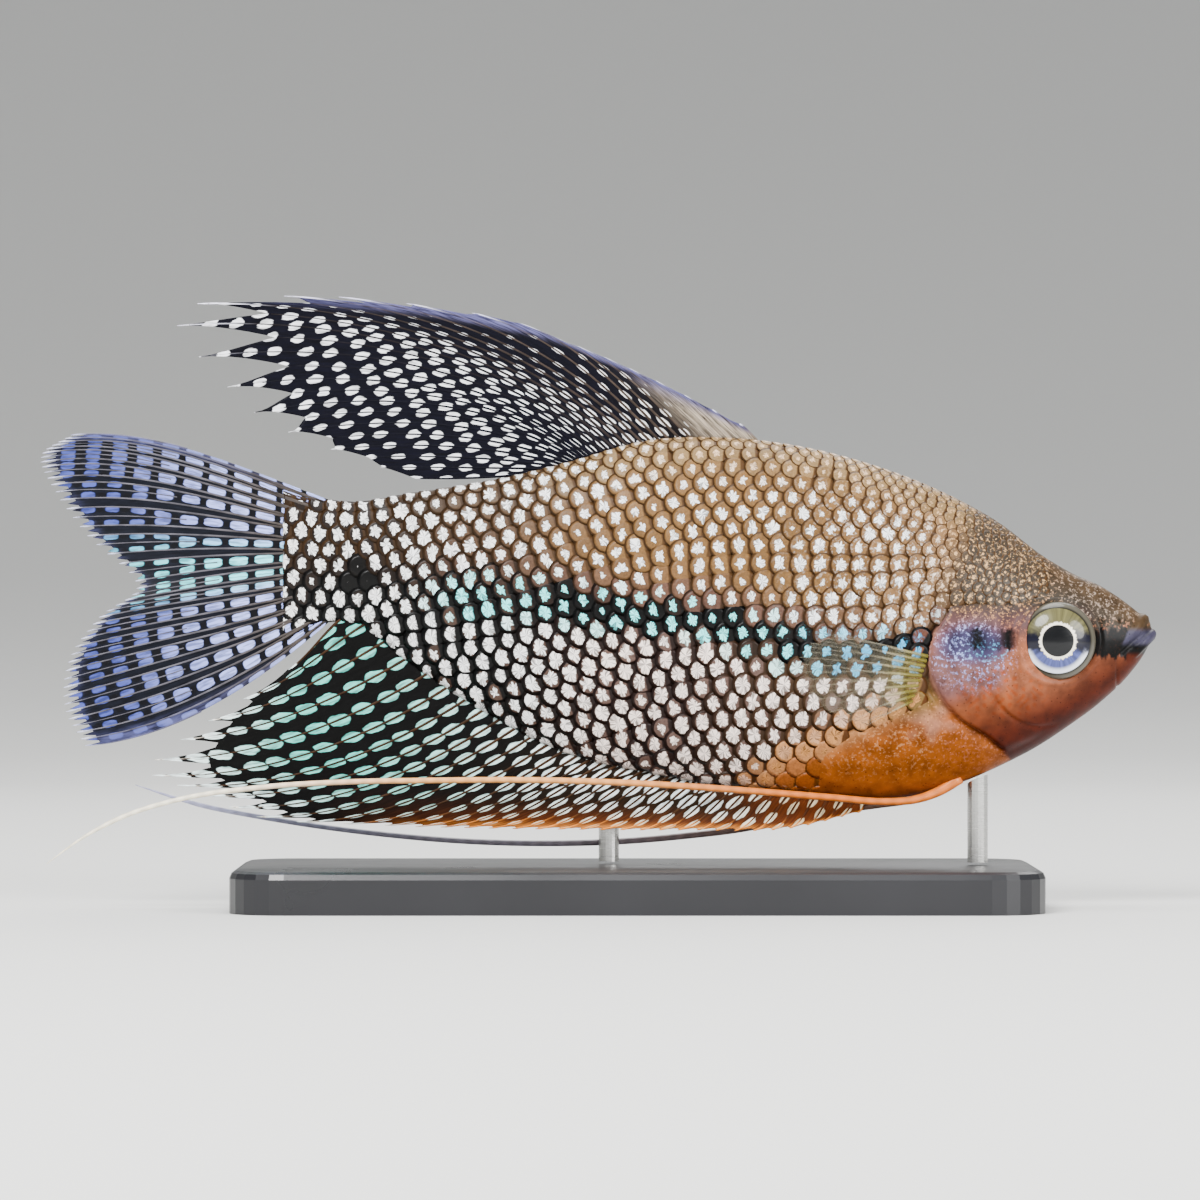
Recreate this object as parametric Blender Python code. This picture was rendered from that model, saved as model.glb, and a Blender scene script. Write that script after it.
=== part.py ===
"""Pearl gourami, a mature male 120 mm long: a still, life-size model on a display stand.

Metres, +Z up. The fish faces +X and its right side faces -Y. The origin is on the floor,
under the middle of the model. The tables and sizes below are in millimetres, and each mesh
is scaled by MM when it is made. Directions of fin rays are degrees in the XZ plane, from +X
toward +Z, so that 180 points straight back.
"""

import math

import bmesh
import bpy
import numpy as np

MM = 0.001
GAP = 0.3  # clearance between neighbouring pieces
SLICE_REACH = 12.0  # how far a cutter runs to each side of the middle plane
SLICE_STEPS = 2  # parts of a cutter between two of its points

# Body: place along the fish, top and bottom of the profile, half of the width
BODY_STATIONS = (
    (-29.6, 43.9, 30.4, 0.85),  # end of the tail stalk
    (-26.6, 43.65, 30.4, 1.15),  # narrowest depth
    (-20.5, 44.55, 26.1, 1.85),
    (-11.5, 46.0, 20.3, 2.95),
    (-3.5, 47.9, 16.4, 4.05),
    (5.0, 50.2, 14.35, 5.1),
    (14.0, 50.5, 12.75, 6.05),
    (22.0, 49.5, 11.85, 6.6),
    (30.1, 47.35, 11.4, 6.85),  # front of the anal fin
    (36.6, 44.8, 12.5, 6.65),  # shoulder
    (43.0, 41.35, 15.05, 6.0),  # gill cover
    (47.3, 38.1, 17.3, 5.3),
    (50.6, 36.05, 19.5, 4.6),  # hollow of the nape, over the eye
    (54.0, 34.5, 22.05, 3.6),  # nostril
    (57.0, 32.45, 25.0, 2.6),
    (58.4, 31.3, 26.9, 1.8),  # snout
    (59.1, 30.7, 28.2, 1.1),
)
SECTION_POWER = 1.12  # over 1 makes the back and belly keener than an ellipse
BODY_SIDES = 32
BODY_RINGS = 38
SNOUT_RINGS = 6
SNOUT_START = 55.0
SNOUT_CAP_SCALE = 0.55
SNOUT_CAP_REACH = 0.3

# Cuts that part the whole body, each a line of (x, z) seen from the side
HEAD_CUT = (
    (41.2, 46.0),
    (40.2, 41.0),
    (38.6, 36.0),
    (37.4, 32.2),
    (35.6, 29.4),
    (35.0, 26.6),
    (35.9, 23.4),
    (38.3, 20.4),
    (41.6, 18.2),
    (44.2, 15.8),
    (45.4, 12.0),
)
TAIL_CUT = ((-21.4, 48.0), (-22.2, 40.0), (-22.3, 34.0), (-21.6, 22.0))
MOUTH_CUT = (
    (61.5, 31.3),
    (59.6, 30.35),
    (58.3, 29.75),
    (57.4, 28.8),
    (56.9, 27.7),
    (55.9, 24.6),
    (54.6, 20.0),
)

# Gill cover: the oval that bounds it in front, and how deep it sits
GILL_CENTRE = (37.0, 25.9)
GILL_RADII = (7.2, 7.6)
GILL_SIDES = 36
GILL_INNER_Y = 3.4

# Eye: centre, radius seen from the side, half of its depth
EYE_CENTRE = (48.83, 4.15, 28.63)
EYE_RADIUS = 4.2
EYE_HALF_DEPTH = 2.05
EYE_SEGMENTS = 24
EYE_RINGS = 10

# Nostrils on each side: place (x, z) and radius
NOSTRILS = ((53.7, 30.7, 0.45), (55.7, 30.75, 0.3))

# Lips: half of each path from the front of the mouth to its corner, (x, y, z), and the radius
UPPER_LIP = ((58.45, 0.0, 30.95), (58.0, 1.0, 30.55), (57.1, 1.85, 29.6), (56.2, 2.2, 28.2))
UPPER_LIP_RADIUS = 0.74
LOWER_LIP = ((59.0, 0.0, 29.4), (58.6, 0.9, 29.05), (57.9, 1.6, 28.2), (57.2, 1.85, 27.0))
LOWER_LIP_RADIUS = 0.98
LIP_END_SHARE = 0.4  # a lip's radius at the corner of the mouth, as a part of its full radius
LIP_STEPS = 9

# Fins: half thickness of the membrane, and how each ray rises from it as a ridge
FIN_HALF = 0.27
FIN_LEVELS = 6
RIDGE_HALF_WIDTH = 0.27
RIDGE_SHARE = 0.3  # most of the way to the next ray that half a ridge takes
RIDGE_RISE = 0.22

# Key rays from front to rear: place in the row, root x, tip x and z, direction at the root and
# at the tip, and the part of the ray that runs free of the membrane
DORSAL_KEYS = (
    (0.00, 17.6, 15.0, 51.9, 145, 152, 0.10),
    (0.20, 13.8, 5.0, 57.0, 138, 155, 0.06),
    (0.40, 9.6, -4.5, 61.0, 135, 160, 0.04),
    (0.52, 7.0, -12.5, 63.6, 134, 167, 0.05),
    (0.64, 4.5, -31.0, 65.6, 133, 176, 0.10),
    (0.76, 2.0, -45.1, 63.8, 135, 183, 0.13),
    (0.86, -0.3, -41.6, 57.6, 138, 188, 0.13),
    (0.93, -2.0, -35.0, 51.8, 146, 190, 0.11),
    (1.00, -4.6, -20.6, 46.1, 188, 178, 0.08),
)
DORSAL_RAYS = 26
DORSAL_ROOT_HALF = 0.45
DORSAL_BEND = 1.1

ANAL_KEYS = (
    (0.00, 29.2, 27.7, 10.15, 215, 200, 0.10),
    (0.12, 23.5, 20.0, 8.45, 215, 195, 0.10),
    (0.27, 16.0, 9.5, 8.3, 212, 190, 0.08),
    (0.42, 8.5, -1.5, 8.35, 210, 186, 0.07),
    (0.56, 1.5, -13.5, 8.5, 211, 184, 0.07),
    (0.66, -3.6, -23.5, 8.8, 213, 181, 0.09),
    (0.74, -8.5, -36.5, 9.6, 214, 178, 0.13),
    (0.81, -12.8, -43.5, 12.4, 214, 176, 0.16),
    (0.87, -17.0, -48.4, 14.8, 213, 178, 0.18),
    (0.92, -21.0, -44.5, 18.4, 211, 185, 0.16),
    (0.97, -25.0, -38.5, 22.2, 211, 196, 0.13),
    (1.00, -27.4, -33.2, 25.6, 217, 216, 0.10),
)
ANAL_RAYS = 36
ANAL_ROOT_HALF = 0.4
ANAL_BEND = 0.8

# Key rays of the tail fin from top to bottom, with the root's z in place of its x
CAUDAL_KEYS = (
    (0.00, 43.8, -56.8, 50.7, 160, 185, 0.06),
    (0.12, 42.2, -60.0, 48.6, 163, 190, 0.05),
    (0.25, 40.7, -58.9, 45.2, 168, 188, 0.05),
    (0.38, 38.9, -55.0, 39.8, 175, 184, 0.05),
    (0.50, 37.1, -49.7, 34.6, 183, 190, 0.05),
    (0.62, 35.3, -53.6, 31.2, 190, 192, 0.05),
    (0.75, 33.6, -56.9, 26.5, 200, 195, 0.05),
    (0.88, 32.0, -57.3, 21.3, 210, 194, 0.05),
    (1.00, 30.5, -55.3, 17.35, 221, 184, 0.06),
)
CAUDAL_ROOT_X = -29.9
CAUDAL_RAYS = 26
CAUDAL_ROOT_HALF = 0.7
CAUDAL_BEND = 1.4

# Key rays of a pectoral fin from top to bottom, with both x and z of the root
PECTORAL_KEYS = (
    (0.00, 34.9, 27.0, 24.6, 29.4, 168, 172, 0.04),
    (0.30, 34.5, 25.6, 21.4, 27.6, 172, 176, 0.03),
    (0.60, 34.0, 24.2, 21.6, 23.6, 180, 184, 0.03),
    (0.85, 33.6, 23.0, 25.0, 20.6, 192, 198, 0.03),
    (1.00, 33.3, 22.2, 28.2, 19.6, 202, 208, 0.04),
)
PECTORAL_RAYS = 10
PECTORAL_ROOT_HALF = 0.35
PECTORAL_LIFT = 2.4  # how far the tips stand off the flank

# Pelvic filaments: route (x, distance from the middle plane, z) and the two end radii
RIGHT_PELVIC = (
    (38.6, 1.0, 13.9),
    (36.4, 1.5, 12.5),
    (33.5, 2.15, 11.55),
    (30.7, 2.4, 11.4),
    (24.7, 2.5, 11.85),
    (18.6, 2.6, 12.35),
    (10.8, 2.9, 12.95),
    (3.5, 3.2, 13.4),
    (-8.5, 3.7, 13.75),
    (-18.0, 4.0, 13.7),
    (-27.0, 4.3, 13.55),
    (-36.0, 4.6, 13.0),
    (-44.9, 4.9, 11.7),
    (-50.5, 5.1, 10.0),
    (-55.0, 5.2, 7.7),
    (-58.9, 5.3, 4.9),
)
LEFT_PELVIC = (
    (38.6, 1.0, 13.9),
    (36.4, 1.5, 12.5),
    (33.5, 2.2, 11.45),
    (30.0, 2.7, 10.9),
    (25.0, 3.3, 10.2),
    (20.0, 3.9, 9.2),
    (15.1, 4.4, 8.2),
    (9.5, 4.8, 7.5),
    (3.5, 5.1, 6.95),
    (-5.0, 5.3, 6.65),
    (-13.9, 5.3, 6.85),
    (-24.0, 5.1, 7.7),
    (-35.7, 4.8, 9.35),
    (-43.5, 4.6, 10.9),
    (-50.2, 4.5, 13.0),
)
PELVIC_ROOT_RADIUS = 0.7
PELVIC_RADIUS = 0.43
PELVIC_ROOT_TAPER = 0.09  # part of the whole length over which the root narrows
PELVIC_END_RADIUS = 0.26
PELVIC_TIP_RADIUS = 0.12
PELVIC_TAPER = 0.06  # part of the whole length over which the tip tapers
PELVIC_LENGTHS = 3
PELVIC_STEP = 2.1  # distance between the points of the tube

# Stand: a flat base and two rods
BASE_SIZE = (86.0, 40.0, 4.5)
BASE_CENTRE_X = 4.0
BASE_CORNER = 6.0
BASE_EDGE = 0.8
ROD_RADIUS = 1.1
ROD_SIDES = 20
FRONT_ROD_XY = (40.6, 0.0)
REAR_ROD_XY = (1.0, 3.2)
ROD_TOP = 24.0

# Colours in linear light, with roughness and metallic value
SKIN_TAN = ((0.30, 0.19, 0.11, 1), 0.4, 0.0)
SKIN_ORANGE = ((0.47, 0.13, 0.03, 1), 0.4, 0.0)
FIN_DARK = ((0.06, 0.05, 0.06, 1), 0.45, 0.0)
FIN_CLEAR = ((0.45, 0.40, 0.25, 1), 0.3, 0.0)
EYE_GLOSS = ((0.05, 0.06, 0.08, 1), 0.08, 0.0)
FILAMENT = ((0.55, 0.28, 0.10, 1), 0.45, 0.0)
STAND_BLACK = ((0.02, 0.02, 0.022, 1), 0.35, 0.0)
ROD_STEEL = ((0.55, 0.55, 0.56, 1), 0.3, 1.0)


def clear_scene():
    """Remove every object, so that the scene holds only the model."""
    for obj in list(bpy.data.objects):
        bpy.data.objects.remove(obj, do_unlink=True)


def new_collection(name):
    """A collection of this name under the scene's own."""
    collection = bpy.data.collections.new(name)
    bpy.context.scene.collection.children.link(collection)
    return collection


def new_material(name, finish):
    """Principled material from a (colour, roughness, metallic) finish."""
    colour, roughness, metallic = finish
    material = bpy.data.materials.new(name)
    material.use_nodes = True
    shader = material.node_tree.nodes["Principled BSDF"]
    shader.inputs["Base Color"].default_value = colour
    shader.inputs["Roughness"].default_value = roughness
    shader.inputs["Metallic"].default_value = metallic
    return material


def smooth(knots, values, at):
    """Read a smooth cubic curve through values at rising knots, at one place or many."""
    knots = np.asarray(knots, float)
    values = np.asarray(values, float)
    at = np.clip(np.asarray(at, float), knots[0], knots[-1])
    slopes = np.gradient(values, knots, axis=0)
    low = np.clip(np.searchsorted(knots, at, side="right") - 1, 0, len(knots) - 2)
    span = knots[low + 1] - knots[low]
    part = (at - knots[low]) / span
    if values.ndim > 1:
        span = np.expand_dims(span, -1)
        part = np.expand_dims(part, -1)
    start_pull = span * slopes[low] * part * (1 - part) ** 2
    end_pull = span * slopes[low + 1] * part**2 * (part - 1)
    ease = part**2 * (3 - 2 * part)
    return values[low] * (1 - ease) + values[low + 1] * ease + start_pull + end_pull


def body_at(x):
    """Top, bottom and half width of the body at x."""
    stations = np.array(BODY_STATIONS)
    return smooth(stations[:, 0], stations[:, 1:], x)


def flank_at(x, z):
    """Distance of the body's side from the middle plane at (x, z)."""
    top, bottom, half_width = body_at(x)
    up = (2 * z - top - bottom) / (top - bottom)
    return half_width * max(0.0, 1 - up**2) ** (SECTION_POWER / 2)


def new_object(name, mesh, collection):
    """Object for a mesh, linked to a collection."""
    obj = bpy.data.objects.new(name, mesh)
    collection.objects.link(obj)
    return obj


def mesh_object(name, points, faces, collection):
    """Object from points in millimetres and faces, with its faces turned outward."""
    mesh = bpy.data.meshes.new(name)
    mesh.from_pydata([[v * MM for v in point] for point in points], [], faces)
    shape = bmesh.new()
    shape.from_mesh(mesh)
    bmesh.ops.recalc_face_normals(shape, faces=shape.faces)
    shape.to_mesh(mesh)
    shape.free()
    return new_object(name, mesh, collection)


def body_ring(x, scale, grow):
    """Points of the body's section at x, clockwise from the back."""
    top, bottom, half_width = body_at(x)
    centre = (top + bottom) / 2
    half_height = (top - bottom) / 2 * scale + grow
    half_width = half_width * scale + grow
    points = []
    for side in range(BODY_SIDES):
        turn = 2 * math.pi * side / BODY_SIDES
        bulge = math.copysign(abs(math.sin(turn)) ** SECTION_POWER, math.sin(turn))
        points.append((x, half_width * bulge, centre + half_height * math.cos(turn)))
    return points


def body_loft(name, collection, grow=0.0):
    """The whole body as one closed loft, swollen by grow."""
    tail_x = BODY_STATIONS[0][0]
    snout_x = BODY_STATIONS[-1][0]
    places = np.linspace(tail_x, SNOUT_START, BODY_RINGS)
    places = np.append(places, np.linspace(SNOUT_START, snout_x, SNOUT_RINGS + 1)[1:])
    rings = [body_ring(x, 1.0, grow) for x in places]
    cap = body_ring(snout_x, SNOUT_CAP_SCALE, grow)
    rings.append([(x + SNOUT_CAP_REACH + grow, y, z) for x, y, z in cap])
    if grow:
        rings[0] = [(x - grow, y, z) for x, y, z in rings[0]]
    faces = []
    for ring in range(len(rings) - 1):
        for side in range(BODY_SIDES):
            near = ring * BODY_SIDES
            far = near + BODY_SIDES
            after = (side + 1) % BODY_SIDES
            faces.append((near + side, near + after, far + after, far + side))
    last = (len(rings) - 1) * BODY_SIDES
    faces.append(tuple(range(BODY_SIDES)))
    faces.append(tuple(range(last, last + BODY_SIDES)))
    return mesh_object(name, [p for ring in rings for p in ring], faces, collection)


def prism(name, outline, y_from, y_to, collection):
    """Solid from an (x, z) outline run along Y."""
    count = len(outline)
    points = [(x, y, z) for y in (y_from, y_to) for x, z in outline]
    faces = [tuple(range(count)), tuple(range(count, 2 * count))]
    for corner in range(count):
        after = (corner + 1) % count
        faces.append((corner, after, count + after, count + corner))
    return mesh_object(name, points, faces, collection)


def side_normals(line):
    """Unit normals of an (x, z) line, to its left."""
    along = np.gradient(line, axis=0)
    along /= np.linalg.norm(along, axis=1, keepdims=True)
    return np.column_stack((-along[:, 1], along[:, 0]))


def slice_cutter(name, line, collection):
    """Thin curved wall through (x, z) points, which parts a body with the usual clearance."""
    steps = np.linspace(0, len(line) - 1, SLICE_STEPS * (len(line) - 1) + 1)
    line = smooth(range(len(line)), line, steps)
    offset = side_normals(line) * GAP / 2
    left = line + offset
    right = line - offset
    outline = np.concatenate((left, right[::-1]))
    return hidden(prism(name, outline.tolist(), -SLICE_REACH, SLICE_REACH, collection))


def hidden(obj):
    """Keep a cutter or guide out of the render."""
    obj.hide_render = True
    obj.display_type = "WIRE"
    return obj


def activate(obj):
    """Make this the only selected object, and the active one."""
    bpy.ops.object.select_all(action="DESELECT")
    obj.select_set(True)
    bpy.context.view_layer.objects.active = obj


def boolean(obj, operation, other):
    """Apply one exact Boolean of another object to this one."""
    modifier = obj.modifiers.new(operation.title(), "BOOLEAN")
    modifier.operation = operation
    modifier.object = other
    activate(obj)
    bpy.ops.object.modifier_apply(modifier=modifier.name)


def remove(*objects):
    """Remove helper objects."""
    for obj in objects:
        bpy.data.objects.remove(obj, do_unlink=True)


def copy_of(obj, name, collection):
    """Separate copy of an object and its mesh."""
    return new_object(name, obj.data.copy(), collection)


def split_loose(obj):
    """Part an object into its separate bodies, from rear to front."""
    activate(obj)
    bpy.ops.mesh.separate(type="LOOSE")
    pieces = list(bpy.context.selected_objects)
    return sorted(pieces, key=lambda piece: min(v.co.x for v in piece.data.vertices))


def as_mesh(curve_obj, collection):
    """Mesh object from a curve object, its caps welded; the curve is removed."""
    graph = bpy.context.evaluated_depsgraph_get()
    mesh = bpy.data.meshes.new_from_object(curve_obj.evaluated_get(graph))
    shape = bmesh.new()
    shape.from_mesh(mesh)
    bmesh.ops.remove_doubles(shape, verts=shape.verts, dist=0.00001)
    shape.to_mesh(mesh)
    shape.free()
    obj = new_object("tube", mesh, collection)
    obj.matrix_world = curve_obj.matrix_world
    name = curve_obj.name
    remove(curve_obj)
    obj.name = name
    return obj


def tube(name, points, radii, collection):
    """Round tube with filled caps along points in millimetres."""
    curve = bpy.data.curves.new(name, "CURVE")
    curve.dimensions = "3D"
    curve.bevel_depth = MM
    curve.bevel_resolution = 2
    curve.use_fill_caps = True
    spline = curve.splines.new("POLY")
    spline.points.add(len(points) - 1)
    for spot, (x, y, z), radius in zip(spline.points, points, radii):
        spot.co = (x * MM, y * MM, z * MM, 1)
        spot.radius = radius
    curve_obj = bpy.data.objects.new(name, curve)
    collection.objects.link(curve_obj)
    bpy.context.view_layer.update()
    return as_mesh(curve_obj, collection)


def lip(name, half_path, radius, collection):
    """Lip as a tube from one corner of the mouth round the front to the other."""
    part = np.linspace(0, 1, LIP_STEPS)
    right = smooth(np.linspace(0, 1, len(half_path)), half_path, part)
    left = right[1:] * (1, -1, 1)
    path = np.concatenate((left[::-1], right))
    shrink = 1 - (1 - LIP_END_SHARE) * np.concatenate((part[:0:-1], part)) ** 3
    return tube(name, path.tolist(), (radius * shrink).tolist(), collection)


def ball(name, centre, radii, segments, rings, collection):
    """Ellipsoid, its poles along Y."""
    bpy.ops.mesh.primitive_uv_sphere_add(segments=segments, ring_count=rings, radius=MM)
    obj = bpy.context.object
    obj.name = name
    obj.rotation_euler = (math.pi / 2, 0, 0)
    bpy.ops.object.transform_apply(rotation=True)
    obj.scale = radii
    obj.location = [v * MM for v in centre]
    bpy.ops.object.transform_apply(location=True, scale=True)
    for owner in list(obj.users_collection):
        owner.objects.unlink(obj)
    collection.objects.link(obj)
    return obj


def ray_path(root, tip, root_turn, tip_turn, places):
    """Curved (x, z) ray from root to tip, leaving and ending in the given directions."""
    root = np.array(root)
    tip = np.array(tip)
    length = np.linalg.norm(tip - root)
    start = length * np.array((math.cos(root_turn), math.sin(root_turn)))
    end = length * np.array((math.cos(tip_turn), math.sin(tip_turn)))
    v = np.asarray(places)[:, None]
    ease = v**2 * (3 - 2 * v)
    pulls = start * v * (1 - v) ** 2 + end * v**2 * (v - 1)
    return root * (1 - ease) + tip * ease + pulls


def fin_rays(keys, count, root_of):
    """Each ray's line up to the membrane's edge, shape (ray, level, 2), and its free tip."""
    keys = np.array(keys, float)
    levels = np.linspace(0, 1, FIN_LEVELS + 1)
    lines = []
    tips = []
    for place in np.linspace(0, 1, count):
        key = smooth(keys[:, 0], keys[:, 1:], place)
        tip = key[-5:-3]
        root_turn, tip_turn = np.radians(key[-3:-1])
        reach = levels * (1 - key[-1])
        lines.append(ray_path(root_of(key), tip, root_turn, tip_turn, reach))
        tips.append(tip)
    return np.array(lines), np.array(tips)


def ridge_columns(lines):
    """Both feet and the crest of each ray's ridge side by side, shape (3 * rays, level, 2)."""
    count, levels, _ = lines.shape
    across = np.gradient(lines, axis=0)
    spacing = np.linalg.norm(across, axis=2, keepdims=True)
    foot = across / spacing * np.minimum(RIDGE_HALF_WIDTH, RIDGE_SHARE * spacing)
    return np.stack((lines - foot, lines, lines + foot), axis=1).reshape(3 * count, levels, 2)


def ridge_half(columns, levels, root_half):
    """Half thickness of a ridged fin at each column and level."""
    out = np.linspace(0, 1, levels)[None, :]
    crest = np.tile((0.0, 1.0, 0.0), columns // 3)[:, None]
    membrane = FIN_HALF + (root_half - FIN_HALF) * (1 - out) ** 3
    return membrane + crest * RIDGE_RISE * (1 - 0.5 * out)


def ridged_plate(name, centre, half, tips, collection):
    """Closed thin plate about a grid of points, with a pointed tip on each third column."""
    columns, levels, _ = centre.shape
    shift = np.zeros_like(centre)
    shift[..., 1] = half
    sides = ((centre - shift).reshape(-1, 3), (centre + shift).reshape(-1, 3), tips)
    back = columns * levels
    faces = []
    for column in range(columns - 1):
        for level in range(levels - 1):
            a = column * levels + level
            b = a + levels
            faces += [(a, b, b + 1), (a, b + 1, a + 1)]
            faces += [(back + a, back + b + 1, back + b), (back + a, back + a + 1, back + b + 1)]
    root = [column * levels for column in range(columns)]
    outer = [column * levels + levels - 1 for column in range(columns)]
    rim = list(zip(root, root[1:]))
    rim += [(level, level + 1) for level in range(levels - 1)]
    rim += [(root[-1] + level, root[-1] + level + 1) for level in range(levels - 1)]
    rim += list(zip(outer[2::3], outer[3::3]))
    for here, after in rim:
        faces += [(here, after, back + after), (here, back + after, back + here)]
    for ray in range(columns // 3):
        tip = 2 * back + ray
        foot, crest, other_foot = outer[3 * ray : 3 * ray + 3]
        faces += [(foot, crest, tip), (crest, other_foot, tip)]
        faces += [(back + foot, back + crest, tip), (back + crest, back + other_foot, tip)]
        faces += [(foot, back + foot, tip), (other_foot, back + other_foot, tip)]
    return mesh_object(name, np.concatenate(sides).tolist(), faces, collection)


def median_fin(name, rays, root_half, bend, collection):
    """Fin in the middle plane, with a slight sideways wave that grows toward its tips."""
    lines, tips = rays
    count, levels, _ = lines.shape
    wave = bend * np.sin(2 * math.pi * np.linspace(0, 1, count))
    out = np.linspace(0, 1, levels)
    flat = ridge_columns(lines)
    sway = np.repeat(wave, 3)[:, None] * out[None, :] ** 2
    centre = np.stack((flat[..., 0], sway, flat[..., 1]), axis=-1)
    ends = np.column_stack((tips[:, 0], 1.1 * wave, tips[:, 1]))
    half = ridge_half(3 * count, levels, root_half)
    return ridged_plate(name, centre, half, ends, collection)


def dorsal_root(key):
    """Root of a dorsal ray, just over the back."""
    return np.array((key[0], body_at(key[0])[0] + GAP))


def anal_root(key):
    """Root of an anal ray, just under the belly."""
    return np.array((key[0], body_at(key[0])[1] - GAP))


def caudal_root(key):
    """Root of a caudal ray, just behind the tail stalk."""
    return np.array((CAUDAL_ROOT_X, key[0]))


def pectoral_root(key):
    """Root of a pectoral ray."""
    return key[:2]


def pectoral_fin(name, side, collection):
    """Pectoral fin, on the right with side -1 and on the left with side 1."""
    lines, tips = fin_rays(PECTORAL_KEYS, PECTORAL_RAYS, pectoral_root)
    flat = ridge_columns(lines)
    columns, levels, _ = flat.shape
    out = np.linspace(0, 1, levels)[None, :]
    flank = np.array([[flank_at(*point) for point in column] for column in flat])
    away = np.maximum(flank, flank[:, :1]) + GAP + PECTORAL_ROOT_HALF + RIDGE_RISE
    y = side * (away + PECTORAL_LIFT * out)
    centre = np.stack((flat[..., 0], y, flat[..., 1]), axis=-1)
    ends = np.column_stack((tips[:, 0], y[1::3, -1], tips[:, 1]))
    half = ridge_half(columns, levels, PECTORAL_ROOT_HALF)
    return ridged_plate(name, centre, half, ends, collection)


def pelvic_filament(name, route, side, swollen, collection):
    """The long pelvic ray of one side, in lengths that meet end to end, cut to the breast."""
    route = np.array(route) * (1, side, 1)
    steps = np.linalg.norm(np.diff(route, axis=0), axis=1)
    knots = np.concatenate(((0.0,), np.cumsum(steps)))
    total = knots[-1]
    pieces = []
    for number in range(PELVIC_LENGTHS):
        start = total * number / PELVIC_LENGTHS + (GAP / 2 if number else 0)
        end = total * (number + 1) / PELVIC_LENGTHS - GAP / 2
        end = total if number == PELVIC_LENGTHS - 1 else end
        places = np.linspace(start, end, max(4, round((end - start) / PELVIC_STEP)))
        part = places / total
        root = np.clip(1 - part / PELVIC_ROOT_TAPER, 0, 1) ** 2
        radii = PELVIC_RADIUS + (PELVIC_END_RADIUS - PELVIC_RADIUS) * part
        radii = radii + (PELVIC_ROOT_RADIUS - PELVIC_RADIUS) * root
        tip = np.clip((part - 1 + PELVIC_TAPER) / PELVIC_TAPER, 0, 1)
        radii = radii * (1 - tip) + PELVIC_TIP_RADIUS * tip
        points = smooth(knots, route, places).tolist()
        pieces.append(tube(f"{name}_{number + 1}", points, radii.tolist(), collection))
    pieces[0] = cut_clear(pieces[0], swollen)
    return pieces


def gill_prism(name, side, grow, collection):
    """Block that holds one gill cover, grown on all sides by grow."""
    turns = np.linspace(0, 2 * math.pi, GILL_SIDES, endpoint=False)
    radii = np.array(GILL_RADII) + grow
    outline = GILL_CENTRE + radii * np.column_stack((np.cos(turns), np.sin(turns)))
    inner = side * (GILL_INNER_Y - grow)
    return prism(name, outline.tolist(), inner, side * SLICE_REACH, collection)


def rounded_base(collection):
    """Flat base with rounded corners and a small edge, standing on the floor."""
    length, width, height = BASE_SIZE
    bpy.ops.mesh.primitive_cube_add(size=1, location=(0, 0, 0))
    obj = bpy.context.object
    obj.name = "stand_base"
    obj.scale = (length * MM, width * MM, height * MM)
    obj.location = (BASE_CENTRE_X * MM, 0, height / 2 * MM)
    bpy.ops.object.transform_apply(location=True, scale=True)
    shape = bmesh.new()
    shape.from_mesh(obj.data)
    upright = [e for e in shape.edges if abs(e.verts[0].co.z - e.verts[1].co.z) > MM]
    bmesh.ops.bevel(shape, geom=upright, offset=BASE_CORNER * MM, segments=6, profile=0.5, affect="EDGES")
    rim = [e for e in shape.edges if min(v.co.z for v in e.verts) > (height - 0.01) * MM]
    bmesh.ops.bevel(shape, geom=rim, offset=BASE_EDGE * MM, segments=2, profile=0.5, affect="EDGES")
    shape.to_mesh(obj.data)
    shape.free()
    for owner in list(obj.users_collection):
        owner.objects.unlink(obj)
    collection.objects.link(obj)
    return obj


def cut_clear(obj, swollen):
    """Cut a piece off just short of the body, and keep what is left outside."""
    name = obj.name
    boolean(obj, "DIFFERENCE", swollen)
    pieces = split_loose(obj)
    pieces.sort(key=lambda piece: min(v.co.z for v in piece.data.vertices))
    remove(*pieces[1:])
    pieces[0].name = name
    return pieces[0]


def rod(name, place, swollen, collection):
    """Upright rod from the base to the body, its top shaped to the body above it."""
    x, y = place
    bottom = BASE_SIZE[2] + GAP
    height = ROD_TOP - bottom
    centre = (x * MM, y * MM, (bottom + height / 2) * MM)
    bpy.ops.mesh.primitive_cylinder_add(
        vertices=ROD_SIDES, radius=ROD_RADIUS * MM, depth=height * MM, location=centre
    )
    obj = bpy.context.object
    obj.name = name
    bpy.ops.object.transform_apply(location=True)
    for owner in list(obj.users_collection):
        owner.objects.unlink(obj)
    collection.objects.link(obj)
    return cut_clear(obj, swollen)


def build_flesh(model, cutters):
    """Head, gill covers, lower jaw, trunk and tail stalk, parted from one body."""
    body = body_loft("body", model)
    for name, path, radius in (
        ("upper_lip", UPPER_LIP, UPPER_LIP_RADIUS),
        ("lower_lip", LOWER_LIP, LOWER_LIP_RADIUS),
    ):
        added = lip(name, path, radius, model)
        boolean(body, "UNION", added)
        remove(added)
    for name, line in (("cut_head", HEAD_CUT), ("cut_tail", TAIL_CUT), ("cut_mouth", MOUTH_CUT)):
        boolean(body, "DIFFERENCE", slice_cutter(name, line, cutters))
    tail_stalk, trunk, head, jaw = split_loose(body)
    tail_stalk.name = "tail_stalk"
    trunk.name = "trunk"
    head.name = "head"
    jaw.name = "lower_jaw"
    covers = []
    for label, side in (("right", -1), ("left", 1)):
        cover = copy_of(head, f"gill_cover_{label}", model)
        block = gill_prism(f"gill_block_{label}", side, 0.0, cutters)
        boolean(cover, "INTERSECT", hidden(block))
        seat = gill_prism(f"gill_seat_{label}", side, GAP, cutters)
        boolean(head, "DIFFERENCE", hidden(seat))
        covers.append(cover)
    return head, jaw, trunk, tail_stalk, covers


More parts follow.
